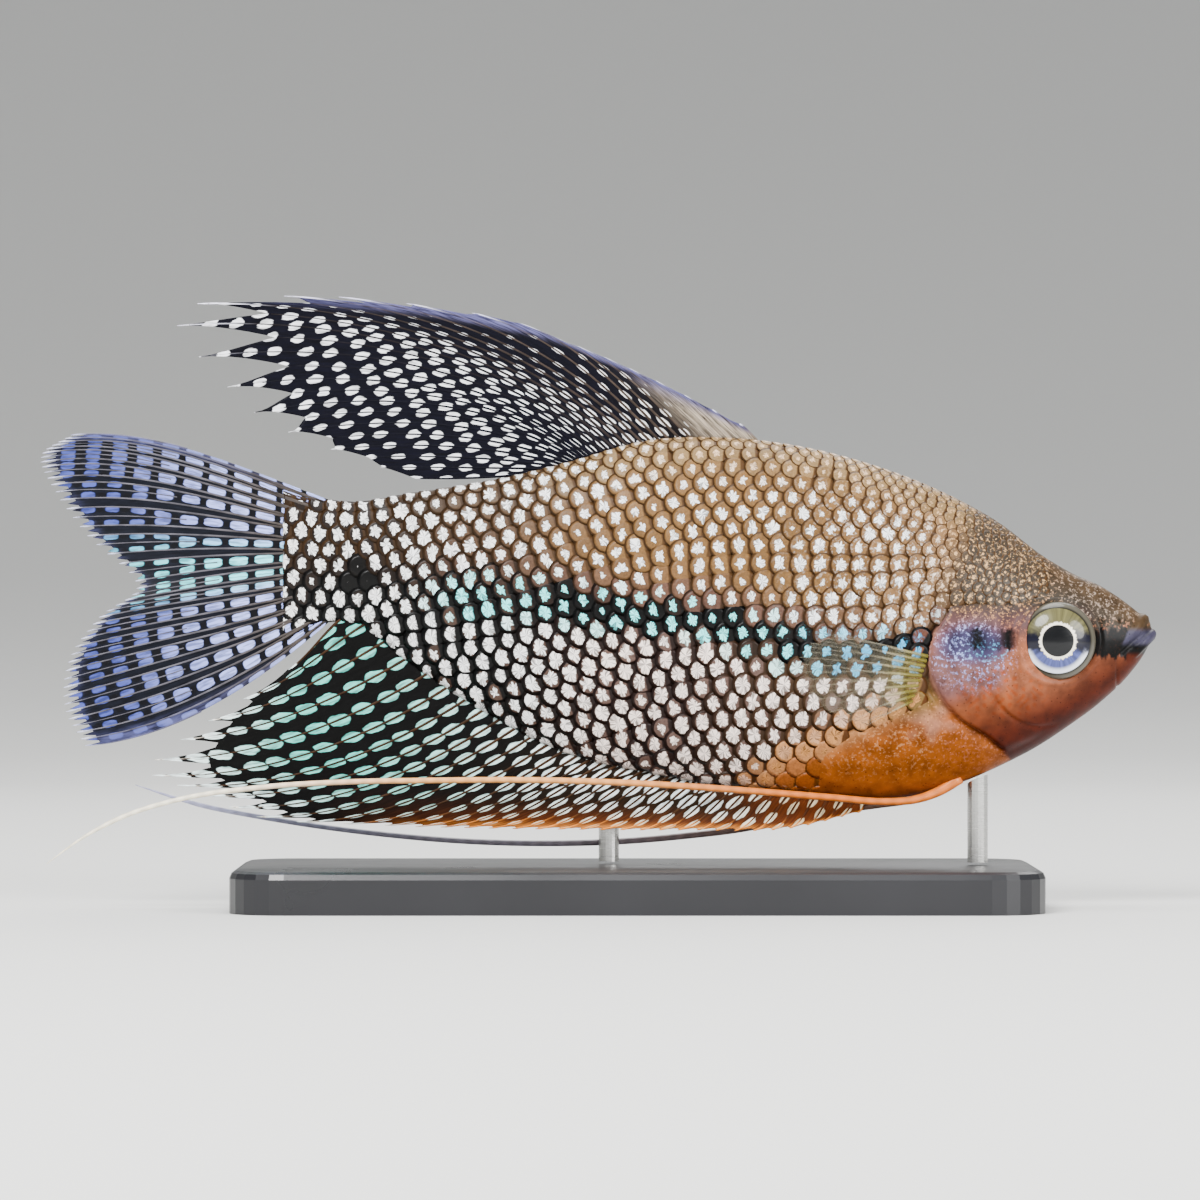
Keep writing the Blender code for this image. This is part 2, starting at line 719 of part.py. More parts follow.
def build_eyes(head, model, cutters):
    """Both eyes, each in a socket of the head, and the nostrils."""
    eyes = []
    x, y, z = EYE_CENTRE
    radii = np.array((EYE_RADIUS, EYE_HALF_DEPTH, EYE_RADIUS))
    for label, side in (("right", -1), ("left", 1)):
        centre = (x, side * y, z)
        eyes.append(ball(f"eye_{label}", centre, radii, EYE_SEGMENTS, EYE_RINGS, model))
        socket = ball(f"socket_{label}", centre, radii + GAP, EYE_SEGMENTS, EYE_RINGS, cutters)
        boolean(head, "DIFFERENCE", hidden(socket))
        for number, (hole_x, hole_z, radius) in enumerate(NOSTRILS):
            spot = (hole_x, side * flank_at(hole_x, hole_z), hole_z)
            hole = ball(f"nostril_{label}_{number}", spot, (radius,) * 3, 12, 8, cutters)
            boolean(head, "DIFFERENCE", hidden(hole))
    return eyes


def build_fins(model):
    """Dorsal, anal, tail and pectoral fins."""
    dorsal = fin_rays(DORSAL_KEYS, DORSAL_RAYS, dorsal_root)
    anal = fin_rays(ANAL_KEYS, ANAL_RAYS, anal_root)
    caudal = fin_rays(CAUDAL_KEYS, CAUDAL_RAYS, caudal_root)
    return [
        median_fin("dorsal_fin", dorsal, DORSAL_ROOT_HALF, DORSAL_BEND, model),
        median_fin("anal_fin", anal, ANAL_ROOT_HALF, -ANAL_BEND, model),
        median_fin("caudal_fin", caudal, CAUDAL_ROOT_HALF, CAUDAL_BEND, model),
    ]


def build_stand(swollen, model):
    """Base and rods."""
    base = rounded_base(model)
    rods = [
        rod("stand_rod_front", FRONT_ROD_XY, swollen, model),
        rod("stand_rod_rear", REAR_ROD_XY, swollen, model),
    ]
    return base, rods


def finish(objects, material):
    """Give objects a material and smooth shading."""
    for obj in objects:
        obj.data.materials.clear()
        obj.data.materials.append(material)
        obj.data.shade_smooth()
        obj.data.set_sharp_from_angle(angle=math.radians(35))


def main():
    """Build the fish and its stand."""
    clear_scene()
    model = new_collection("pearl_gourami")
    cutters = new_collection("cutters")
    head, jaw, trunk, tail_stalk, covers = build_flesh(model, cutters)
    eyes = build_eyes(head, model, cutters)
    fins = build_fins(model)
    pectorals = [pectoral_fin("pectoral_fin_right", -1, model), pectoral_fin("pectoral_fin_left", 1, model)]
    swollen = hidden(body_loft("body_clearance", cutters, grow=GAP))
    pelvics = pelvic_filament("pelvic_filament_right", RIGHT_PELVIC, -1, swollen, model)
    pelvics += pelvic_filament("pelvic_filament_left", LEFT_PELVIC, 1, swollen, model)
    base, rods = build_stand(swollen, model)
    finish([trunk, tail_stalk], new_material("Scaled skin", SKIN_TAN))
    finish([head, jaw] + covers, new_material("Orange skin", SKIN_ORANGE))
    finish(eyes, new_material("Eye", EYE_GLOSS))
    finish(fins, new_material("Dark fin", FIN_DARK))
    finish(pectorals, new_material("Clear fin", FIN_CLEAR))
    finish(pelvics, new_material("Filament", FILAMENT))
    finish([base], new_material("Black base", STAND_BLACK))
    finish(rods, new_material("Steel rod", ROD_STEEL))


main()
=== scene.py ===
"""Looks of the pearl gourami, a mature male 120 mm long on a display stand.

The frame is in metres, +Z up. The fish faces +X and shows its right side to -Y. Tables and sizes
are in millimetres, and each mesh is scaled by MM when it is made. A place on the body is given by
x and by how far down it lies from the middle of the back, measured round the body.
"""

import logging
import math
from dataclasses import dataclass
from enum import Enum

import bpy
import numpy as np
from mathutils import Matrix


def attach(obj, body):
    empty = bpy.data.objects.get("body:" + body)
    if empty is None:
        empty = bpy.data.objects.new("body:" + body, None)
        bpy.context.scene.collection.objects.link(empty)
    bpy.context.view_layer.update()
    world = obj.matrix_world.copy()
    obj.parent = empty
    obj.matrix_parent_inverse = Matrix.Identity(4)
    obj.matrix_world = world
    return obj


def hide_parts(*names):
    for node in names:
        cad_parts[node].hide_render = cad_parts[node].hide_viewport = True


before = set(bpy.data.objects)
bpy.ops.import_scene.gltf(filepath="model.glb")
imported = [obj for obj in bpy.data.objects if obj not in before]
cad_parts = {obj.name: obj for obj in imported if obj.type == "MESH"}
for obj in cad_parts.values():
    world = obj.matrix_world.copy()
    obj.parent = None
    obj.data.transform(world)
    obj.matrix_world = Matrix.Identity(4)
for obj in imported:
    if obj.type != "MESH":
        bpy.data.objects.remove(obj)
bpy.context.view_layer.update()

logging.basicConfig(level=logging.INFO, format="%(message)s")
LOG = logging.getLogger("pearl_gourami")

MM = 0.001
BODY = "root"

Array = np.ndarray
Socket = bpy.types.NodeSocket


class Side(Enum):
    """Side of the fish, with the sign of its Y."""

    RIGHT = -1
    LEFT = 1

    @property
    def label(self) -> str:
        """Lower-case name of the side."""
        return self.name.lower()


def linear(code: str) -> Array:
    """Turn an sRGB hex colour into linear light.

    Args:
        code: Six hex digits with a leading #.

    Returns:
        Red, green, blue and alpha, each from 0 to 1.
    """
    parts = np.array([int(code[i : i + 2], 16) / 255 for i in (1, 3, 5)])
    parts = np.where(parts <= 0.04045, parts / 12.92, ((parts + 0.055) / 1.055) ** 2.4)
    return np.append(parts, 1.0)


def ease(value: Array, low: float, high: float) -> Array:
    """Rise smoothly from 0 at low to 1 at high.

    Args:
        value: Numbers to judge.
        low: Where the rise starts; it may lie above high.
        high: Where the rise ends.

    Returns:
        Shares from 0 to 1.
    """
    part = np.clip((np.asarray(value, float) - low) / (high - low), 0, 1)
    return part**2 * (3 - 2 * part)


def bell(value: Array, middle: float, width: Array) -> Array:
    """Bell curve, 1 at its middle."""
    return np.exp(-(((value - middle) / width) ** 2))


def from_centre(x: Array, z: Array, oval: tuple) -> Array:
    """How far places lie from the centre of an oval seen from the side.

    Args:
        x: X of each place.
        z: Z of each place.
        oval: Centre and half sizes of the oval, along x and z.

    Returns:
        0 at the centre, 1 on the oval.
    """
    centre_x, centre_z, half_x, half_z = oval
    return np.hypot((x - centre_x) / half_x, (z - centre_z) / half_z)


def smooth(knots: Array, values: Array, at: Array) -> Array:
    """Read a smooth cubic curve through values at rising knots.

    Args:
        knots: Rising places of the values.
        values: One value or row of values a knot.
        at: One place or many.

    Returns:
        The curve's value or row at each place.
    """
    knots = np.asarray(knots, float)
    values = np.asarray(values, float)
    at = np.clip(np.asarray(at, float), knots[0], knots[-1])
    slopes = np.gradient(values, knots, axis=0)
    low = np.clip(np.searchsorted(knots, at, side="right") - 1, 0, len(knots) - 2)
    span = knots[low + 1] - knots[low]
    part = (at - knots[low]) / span
    if values.ndim > 1:
        span = np.expand_dims(span, -1)
        part = np.expand_dims(part, -1)
    start_pull = span * slopes[low] * part * (1 - part) ** 2
    end_pull = span * slopes[low + 1] * part**2 * (part - 1)
    rise = part**2 * (3 - 2 * part)
    return values[low] * (1 - rise) + values[low + 1] * rise + start_pull + end_pull


def blend(first: Array, second: Array, share: Array) -> Array:
    """Mix two colours.

    Args:
        first: Colour, or one colour a place.
        second: Colour, or one colour a place.
        share: How much of the second to take at each place.

    Returns:
        One colour a place.
    """
    share = np.asarray(share, float)[..., None]
    return first * (1 - share) + second * share


def deselect() -> None:
    """Leave object mode's selection empty."""
    bpy.ops.object.select_all(action="DESELECT")


def activate(obj: bpy.types.Object) -> None:
    """Make obj the only selected object, and the active one."""
    deselect()
    obj.select_set(True)
    bpy.context.view_layer.objects.active = obj


def modify(obj: bpy.types.Object, kind: str, **settings: object) -> None:
    """Apply one modifier to an object.

    Args:
        obj: Object to shape.
        kind: Modifier type, as Blender names it.
        **settings: Values of the modifier's own settings.
    """
    modifier = obj.modifiers.new(kind.title(), kind)
    for name, value in settings.items():
        setattr(modifier, name, value)
    activate(obj)
    bpy.ops.object.modifier_apply(modifier=modifier.name)


def mesh_object(name: str, points: Array, faces: list) -> bpy.types.Object:
    """Make an object from points and faces.

    Args:
        name: Name of the piece.
        points: Points in millimetres.
        faces: Point numbers of each face.

    Returns:
        The new object, linked to the scene.
    """
    mesh = bpy.data.meshes.new(name)
    mesh.from_pydata((np.asarray(points) * MM).tolist(), [], faces)
    obj = bpy.data.objects.new(name, mesh)
    bpy.context.scene.collection.objects.link(obj)
    return obj


def points_of(obj: bpy.types.Object) -> Array:
    """Points of a mesh in millimetres."""
    flat = np.empty(len(obj.data.vertices) * 3)
    obj.data.vertices.foreach_get("co", flat)
    return flat.reshape(-1, 3) / MM


def set_points(obj: bpy.types.Object, points: Array) -> None:
    """Move all points of a mesh to places in millimetres."""
    obj.data.vertices.foreach_set("co", (points * MM).ravel())
    obj.data.update()


def normals_of(obj: bpy.types.Object) -> Array:
    """Outward unit normals at the points of a mesh."""
    flat = np.empty(len(obj.data.vertices) * 3)
    obj.data.vertices.foreach_get("normal", flat)
    return flat.reshape(-1, 3)


def turn_outward(obj: bpy.types.Object) -> None:
    """Merge doubled points and point all faces outward."""
    activate(obj)
    bpy.ops.object.mode_set(mode="EDIT")
    bpy.ops.mesh.select_all(action="SELECT")
    bpy.ops.mesh.remove_doubles(threshold=0.001 * MM)
    bpy.ops.mesh.normals_make_consistent(inside=False)
    bpy.ops.object.mode_set(mode="OBJECT")


def paint(obj: bpy.types.Object, name: str, colours: Array) -> None:
    """Store one colour a point under an attribute name."""
    layer = obj.data.color_attributes.new(name, "FLOAT_COLOR", "POINT")
    layer.data.foreach_set("color", np.ascontiguousarray(colours, float).ravel())


def note(obj: bpy.types.Object, name: str, values: Array) -> None:
    """Store one number a point under an attribute name."""
    layer = obj.data.attributes.new(name, "FLOAT", "POINT")
    layer.data.foreach_set("value", np.ascontiguousarray(values, float))


def read_note(obj: bpy.types.Object, name: str) -> Array:
    """Numbers stored under an attribute name."""
    values = np.empty(len(obj.data.vertices))
    obj.data.attributes[name].data.foreach_get("value", values)
    return values


def lay_uv(obj: bpy.types.Object, name: str, places: Array) -> None:
    """Store a UV map from one place a point.

    Args:
        obj: Object to map.
        name: Name of the UV map.
        places: U and V of each point.
    """
    corners = np.empty(len(obj.data.loops), np.int32)
    obj.data.loops.foreach_get("vertex_index", corners)
    layer = obj.data.uv_layers.new(name=name)
    layer.data.foreach_set("uv", np.ascontiguousarray(places[corners], float).ravel())


def dress(obj: bpy.types.Object, material: bpy.types.Material, slot: str, *nodes: str) -> None:
    """Finish a piece and tie it to the frame.

    Args:
        obj: Finished mesh.
        material: Its material.
        slot: Name of its finish slot; not used.
        *nodes: CAD nodes that it stands for.
    """
    obj.data.materials.clear()
    obj.data.materials.append(material)
    obj.data.shade_smooth()
    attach(obj, BODY)
    if nodes:
        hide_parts(*nodes)
    LOG.info("%s: %d faces", obj.name, len(obj.data.polygons))


class Shade:
    """A material in the making, with short ways to add its nodes."""

    def __init__(self, name: str) -> None:
        """Start a material named by what the surface is."""
        self.material = bpy.data.materials.new(name)
        self.material.use_nodes = True
        self.tree = self.material.node_tree
        self.shader = self.tree.nodes["Principled BSDF"]

    def feed(self, socket: Socket, value: object) -> None:
        """Link an output to an input, or set the input to a value or a hex colour."""
        if isinstance(value, Socket):
            self.tree.links.new(value, socket)
        else:
            socket.default_value = tuple(linear(value)) if isinstance(value, str) else value

    def add(self, kind: str, inputs: dict | None = None, out: int | str = 0, **settings: object) -> Socket:
        """Add a shader node with its settings and links.

        Args:
            kind: Node type without its ShaderNode prefix.
            inputs: Value or output socket for each input, by name or number.
            out: Name or number of the output to hand back.
            **settings: Values of the node's own settings.

        Returns:
            The chosen output.
        """
        made = self.tree.nodes.new("ShaderNode" + kind)
        for name, value in settings.items():
            setattr(made, name, value)
        for key, value in (inputs or {}).items():
            self.feed(made.inputs[key], value)
        return made.outputs[out]

    def set(self, name: str, value: object) -> None:
        """Set or link one input of the surface's own shader."""
        self.feed(self.shader.inputs[name], value)

    def read(self, name: str, out: str = "Color") -> Socket:
        """Attribute stored on the piece."""
        return self.add("Attribute", out=out, attribute_name=name)

    def math(self, operation: str, *values: object, clamp: bool = False) -> Socket:
        """One number worked out from others."""
        return self.add("Math", dict(enumerate(values)), operation=operation, use_clamp=clamp)

    def vector(self, operation: str, *values: object) -> Socket:
        """One vector worked out from others."""
        return self.add("VectorMath", dict(enumerate(values)), operation=operation)

    def scaled(self, vector: Socket, factor: float) -> Socket:
        """A vector made longer or shorter."""
        return self.add("VectorMath", {0: vector, "Scale": factor}, operation="SCALE")

    def length(self, vector: Socket) -> Socket:
        """Length of a vector."""
        return self.add("VectorMath", {0: vector}, "Value", operation="LENGTH")

    def part(self, vector: Socket, axis: str = "X") -> Socket:
        """One part of a vector."""
        return self.add("SeparateXYZ", {0: vector}, axis)

    def ramp(self, value: Socket, low: float, high: float, start: float = 0.0, end: float = 1.0,
             soft: bool = False) -> Socket:
        """Map a number from low and high to start and end, and no farther.

        Args:
            value: Number to map.
            low: Where the result is start.
            high: Where the result is end.
            start: Result at low.
            end: Result at high.
            soft: Whether the change starts and stops gently.

        Returns:
            The mapped number.
        """
        curve = "SMOOTHSTEP" if soft else "LINEAR"
        return self.add("MapRange", {0: value, 1: low, 2: high, 3: start, 4: end}, interpolation_type=curve)

    def mix(self, share: Socket, first: object, second: object) -> Socket:
        """Mix of two colours."""
        return self.add("Mix", {0: share, 6: first, 7: second}, 2, data_type="RGBA")

    def tint(self, first: object, second: object) -> Socket:
        """Product of two colours."""
        inputs = {0: 1.0, 6: first, 7: second}
        return self.add("Mix", inputs, 2, data_type="RGBA", blend_type="MULTIPLY")

    def noise(self, place: Socket, scale: float, detail: float, turn: Socket | None = None,
              rough: float = 0.5, out: int | str = 0) -> Socket:
        """Cloudy noise.

        Args:
            place: Where to read it.
            scale: How many clouds there are a unit.
            detail: How many finer layers there are.
            turn: Number that gives each scale its own noise.
            rough: Strength of the finer layers.
            out: Output to hand back.

        Returns:
            The noise, about 0.5 in the mean.
        """
        inputs = {"Vector": place, "Scale": scale, "Detail": detail, "Roughness": rough}
        if turn is None:
            return self.add("TexNoise", inputs, out)
        return self.add("TexNoise", inputs | {"W": turn}, out, noise_dimensions="4D")

    def bump(self, height: Socket, strength: float, distance: float) -> None:
        """Raise the surface by a height, with the distance in millimetres."""
        inputs = {"Height": height, "Strength": strength, "Distance": distance * MM}
        self.set("Normal", self.add("Bump", inputs))


@dataclass(frozen=True)
class BodyForm:
    """Outer form of the body, as the solids have it.

    Attributes:
        stations: Place along the fish, top and bottom of the profile, half of the width.
        power: Over 1 makes the back and belly keener than an ellipse.
    """

    stations: tuple = (
        (-34.0, 44.8, 27.9, 0.24),
        (-31.6, 44.1, 29.6, 0.45),
        (-29.6, 43.9, 30.4, 0.85),
        (-26.6, 43.65, 30.4, 1.15),
        (-20.5, 44.55, 26.1, 1.85),
        (-11.5, 46.0, 20.3, 2.95),
        (-3.5, 47.9, 16.4, 4.05),
        (5.0, 50.2, 14.35, 5.1),
        (14.0, 50.5, 12.75, 6.05),
        (22.0, 49.5, 11.85, 6.6),
        (30.1, 47.35, 11.4, 6.85),
        (36.6, 44.8, 12.5, 6.65),
        (43.0, 41.35, 15.05, 6.0),
        (47.3, 38.1, 17.3, 5.3),
        (50.6, 36.05, 19.5, 4.6),
        (54.0, 34.5, 22.05, 3.6),
        (57.0, 32.45, 25.0, 2.6),
        (58.4, 31.3, 26.9, 1.8),
        (59.1, 30.7, 28.2, 1.1),
    )
    power: float = 1.12

    @property
    def tail_x(self) -> float:
        """Rear end of the body."""
        return self.stations[0][0]

    @property
    def snout_x(self) -> float:
        """Front end of the body."""
        return self.stations[-1][0]

    def profile(self, x: Array) -> tuple[Array, Array, Array]:
        """Top, bottom and half width of the body at x."""
        table = np.array(self.stations)
        read = smooth(table[:, 0], table[:, 1:], x)
        return read[..., 0], read[..., 1], read[..., 2]

    def surface(self, x: Array, turn: Array, inset: float = 0.0) -> Array:
        """Find points of the body's left side.

        Args:
            x: Place along the fish.
            turn: Angle round the section, 0 at the back and pi at the belly.
            inset: How far inside the outer form.

        Returns:
            Points, one row each.
        """
        top, bottom, half_width = self.profile(x)
        half_height = (top - bottom) / 2 - inset
        bulge = np.sign(np.sin(turn)) * np.abs(np.sin(turn)) ** self.power
        y = (half_width - inset) * bulge
        z = (top + bottom) / 2 + half_height * np.cos(turn)
        return np.stack(np.broadcast_arrays(x, y, z), axis=-1)

    def normal(self, x: Array, turn: Array) -> Array:
        """Outward unit normals of the body's left side at the same places as surface."""
        step = 0.02
        turn = np.clip(turn, step, math.pi - step)
        along = self.surface(x + step, turn) - self.surface(x - step, turn)
        down = self.surface(x, turn + step) - self.surface(x, turn - step)
        outward = np.cross(down, along)
        outward /= np.linalg.norm(outward, axis=-1, keepdims=True)
        return outward * np.where(outward[..., 1:2] < 0, -1, 1)

    def flank(self, x: Array, z: Array) -> Array:
        """Distance of the body's side from the middle plane at (x, z)."""
        top, bottom, half_width = self.profile(x)
        up = (2 * z - top - bottom) / (top - bottom)
        return half_width * np.maximum(0, 1 - up**2) ** (self.power / 2)


@dataclass
class Girth:
    """Map from the distance down round the body to the angle round its section.

    Attributes:
        form: The body.
        rings: Number of sections read.
        steps: Number of places read on each section.
    """

    form: BodyForm
    rings: int = 300
    steps: int = 160

    def __post_init__(self) -> None:
        """Measure every section once."""
        self.places = np.linspace(self.form.tail_x, self.form.snout_x, self.rings)
        turns = np.linspace(0, math.pi, 2 * self.steps)
        points = self.form.surface(self.places[:, None], turns[None, :])
        lengths = np.linalg.norm(np.diff(points, axis=1), axis=2)
        run = np.concatenate((np.zeros((self.rings, 1)), np.cumsum(lengths, axis=1)), axis=1)
        self.totals = run[:, -1]
        shares = np.linspace(0, 1, self.steps)
        self.table = np.array([np.interp(shares, r / r[-1], turns) for r in run])

    def total(self, x: Array) -> Array:
        """Distance from the back to the belly at x."""
        return np.interp(x, self.places, self.totals)

    def turn(self, x: Array, down: Array) -> Array:
        """Find the angle of a place on the body.

        Args:
            x: Place along the fish.
            down: Distance from the middle of the back, round the body.

        Returns:
            Angle round the section.
        """
        share = np.clip(down / self.total(x), 0, 1) * (self.steps - 1)
        place = (x - self.places[0]) / (self.places[-1] - self.places[0]) * (self.rings - 1)
        place = np.clip(place, 0, self.rings - 1.001)
        share = np.clip(share, 0, self.steps - 1.001)
        i = place.astype(int)
        k = share.astype(int)
        a = place - i
        b = share - k
        near = self.table[i, k] * (1 - b) + self.table[i, k + 1] * b
        far = self.table[i + 1, k] * (1 - b) + self.table[i + 1, k + 1] * b
        return near * (1 - a) + far * a

    def point(self, x: Array, down: Array) -> Array:
        """Points on the left side at x and down."""
        return self.form.surface(x, self.turn(x, down))

    def slopes(self, x: Array, down: Array) -> tuple[Array, Array]:
        """Movement on the surface for each millimetre of x, and of down."""
        step = 0.2
        ahead = self.point(x + step, down) - self.point(x - step, down)
        low = np.maximum(down - step, 0)
        high = np.minimum(down + step, self.total(x))
        below = self.point(x, high) - self.point(x, low)
        return ahead / (2 * step), below / (high - low)[..., None]


FORM = BodyForm()
GIRTH = Girth(FORM)


class Paint(Enum):
    """Colours of the fish, in linear light."""

    GOLD_BROWN = "#6d4f2d"
    RIDGE_TAN = "#7e6543"
    ROSE_BROWN = "#563d33"
    SHOULDER = "#755738"
    ROSE_GREY = "#54413a"
    REAR_BROWN = "#403027"
    STALK_BROWN = "#1b1411"
    BELLY_TAN = "#ac774a"
    BELLY_ORANGE = "#7e3f0b"
    THROAT = "#431505"
    THROAT_DARK = "#2f0905"
    OLIVE = "#464115"
    NET_BROWN = "#452f19"
    NET_PLUM = "#1d110e"
    NET_BLACK = "#050505"
    NET_FAINT = "#4c2805"
    BAND = "#050505"
    PEARL_WHITE = "#fdfdfc"
    PEARL_GOLD = "#dcae79"
    PEARL_ROSE = "#fdebe0"
    PEARL_AQUA = "#80fdfd"
    PEARL_BLUE = "#31a7e7"
    PEARL_TAN = "#c0844b"
    FOREHEAD = "#373028"
    NAPE_GREY = "#433322"
    MAUVE = "#543a3a"
    GILL_PURPLE = "#3d3756"
    GILL_ROSE = "#694a4a"
    CHEEK = "#8c5236"
    GILL_ORANGE = "#97542d"
    LIP_GREY = "#413e51"
    MASK = "#050505"
    FLECK_GOLD = "#c69260"
    FLECK_GREY = "#a69181"
    FLECK_SILVER = "#aab8fd"
    FLECK_AQUA = "#0598b6"
    FLECK_PINK = "#aa664d"
    AMBER = "#993d05"
    CREAM_PINK = "#a6755f"

    @property
    def rgba(self) -> Array:
        """The colour in linear light."""
        return linear(self.value)


def layered(base: Paint, *layers: tuple[Paint, Array]) -> Array:
    """Lay colours over a base.

    Args:
        base: The lowest colour.
        *layers: Each further colour, with its share at each place.

    Returns:
        One colour a place.
    """
    colour = base.rgba
    for over, share in layers:
        colour = blend(colour, over.rgba, share)
    return colour


def within(x: Array, z: Array, oval: tuple, outer: float, inner: float) -> Array:
    """Rise from 0 round an oval to 1 within it.

    Args:
        x: X of each place.
        z: Z of each place.
        oval: Centre and half sizes of the oval, along x and z.
        outer: Where the rise starts, in half sizes.
        inner: Where it ends.

    Returns:
        Shares from 0 to 1.
    """
    return ease(from_centre(x, z, oval), outer, inner)


@dataclass(frozen=True)
class Markings:
    """Markings of the skin and its scales, worked out from the place seen from the side.

    An oval is given by its centre and half sizes, along x and z.

    Attributes:
        band: Middle of the dark stripe along the flank, x and z.
        band_half: Half of its height.
        tail_spot: Oval of the dark spot on the tail stalk.
        mask: Middle of the dark stripe between snout and eye, x and z.
        mask_half: Half of its height.
        cream: Oval of the pale patch behind the gill cover.
        olive: Oval of the tint under the pectoral fin.
        gill: Oval of the gill cover's rosy ground.
        gill_upper: Oval of its purple upper part.
        gill_lower: Oval of its orange lower part.
        gill_spots: Oval in which amber spots lie on it.
        silver: Oval of the silver flecks.
        aqua: Oval of the aqua flecks.
    """

    band: tuple = (
        (-16.1, 33.5), (-6.4, 33.0), (0.0, 32.1), (5.4, 31.6), (10.8, 30.7),
        (16.2, 29.6), (21.5, 27.9), (26.9, 27.2), (32.3, 27.7), (37.7, 28.7),
    )
    band_half: float = 1.35
    tail_spot: tuple = (-26.1, 35.2, 1.45, 2.1)
    mask: tuple = ((40.0, 28.9), (48.8, 28.6), (53.0, 28.4), (57.5, 28.4), (60.0, 28.6))
    mask_half: float = 0.95
    cream: tuple = (35.3, 20.2, 2.5, 2.0)
    olive: tuple = (33.5, 23.5, 4.5, 3.6)
    gill: tuple = (39.0, 25.6, 4.6, 4.4)
    gill_upper: tuple = (39.8, 28.2, 4.4, 2.3)
    gill_lower: tuple = (41.5, 21.0, 5.0, 2.6)
    gill_spots: tuple = (43.0, 22.8, 5.2, 3.4)
    silver: tuple = (39.6, 26.8, 5.0, 4.4)
    aqua: tuple = (41.4, 27.6, 3.2, 1.6)

    def above_band(self, x: Array, z: Array) -> Array:
        """Height over the middle of the flank stripe."""
        line = np.array(self.band)
        return z - smooth(line[:, 0], line[:, 1], x)

    def band_share(self, x: Array, z: Array) -> Array:
        """How much of the dark flank stripe shows at each place."""
        half = self.band_half * (1 + 0.2 * ease(x, 12.0, 20.0))
        away = np.abs(self.above_band(x, z)) / half
        along = ease(x, -13.0, -3.0) * ease(x, 40.0, 34.0)
        faint = 0.55 * ease(x, -20.0, -14.0) * ease(x, 0.0, -8.0)
        return ease(away, 1.35, 0.75) * np.maximum(along, faint)

    def spot_share(self, x: Array, z: Array) -> Array:
        """How much of the dark tail spot shows at each place."""
        return within(x, z, self.tail_spot, 1.15, 0.8)

    def dark_share(self, x: Array, z: Array) -> Array:
        """How dark the flank stripe and the tail spot make the ground."""
        return np.maximum(self.band_share(x, z), self.spot_share(x, z))

    def mask_share(self, x: Array, z: Array) -> Array:
        """How much of the dark stripe through the eye shows at each place."""
        line = np.array(self.mask)
        ragged = 0.22 * np.sin(5.1 * x + 1.3 * z) + 0.16 * np.sin(11.7 * x - 3.0 * z + 1.0)
        away = np.abs(z + ragged - smooth(line[:, 0], line[:, 1], x)) / self.mask_half
        patches = 0.6 + 0.4 * np.sin(1.9 * x + 0.6)
        behind = patches * ease(x, 36.5, 38.5) * ease(x, 46.5, 44.0)
        before_eye = x > 50.0
        reach = np.where(before_eye, 1.5, 1.0)
        return ease(away, 1.2 * reach, 0.95 * reach) * np.maximum(before_eye, behind)

    def orange_share(self, x: Array, z: Array) -> Array:
        """How far the ground has turned orange, toward the breast and throat."""
        lower = z - (13.0 + 0.47 * (x - 12.0))
        return ease(lower, 3.5, -4.5) * ease(x, 8.0, 22.0)

    def ground(self, x: Array, z: Array) -> Array:
        """Colour of the scales between their pearls and outlines."""
        under_ridge = FORM.profile(x)[0] - z
        over = self.above_band(x, z)
        orange = self.orange_share(x, z)
        wavy_x = x + 0.7 * np.sin(3.1 * z + 1.0)
        wavy_z = z + 0.6 * np.sin(2.7 * x)
        return layered(
            Paint.ROSE_GREY,
            (Paint.ROSE_BROWN, ease(over, -2.0, 0.5)),
            (Paint.GOLD_BROWN, ease(over, 2.0, 6.0)),
            (Paint.SHOULDER, ease(over, 0.0, 4.0) * ease(x, 25.0, 34.0)),
            (Paint.RIDGE_TAN, ease(under_ridge, 4.5, 1.5)),
            (Paint.REAR_BROWN, ease(x, 4.0, -12.0) * 0.8),
            (Paint.STALK_BROWN, ease(x, -12.0, -24.0)),
            (Paint.BELLY_TAN, ease(orange, 0.05, 0.4)),
            (Paint.BELLY_ORANGE, ease(orange, 0.5, 1.0)),
            (Paint.CREAM_PINK, 0.6 * within(wavy_x, wavy_z, self.cream, 1.3, 0.3)),
            (Paint.OLIVE, 0.75 * within(x, z, self.olive, 1.2, 0.4)),
            (Paint.BAND, self.dark_share(x, z)),
        )

    def net(self, x: Array, z: Array) -> Array:
        """Colour of the scales' outlines, with their width as alpha."""
        over = self.above_band(x, z)
        faint = ease(self.orange_share(x, z), 0.1, 0.7)
        dark = self.dark_share(x, z)
        colour = layered(
            Paint.NET_PLUM,
            (Paint.NET_BROWN, np.maximum(ease(over, 0.5, 5.0), 0.6 * ease(x, 6.0, 24.0))),
            (Paint.NET_BLACK, ease(x, 2.0, -14.0) * (1 - 0.5 * ease(over, 0.0, 5.0))),
            (Paint.NET_FAINT, faint),
            (Paint.BAND, dark),
        )
        width = 0.11 + 0.13 * ease(over, 3.0, -2.0) + 0.08 * ease(x, 2.0, -14.0)
        colour[..., 3] = width * (1 - 0.75 * faint) + 0.1 * dark
        return colour

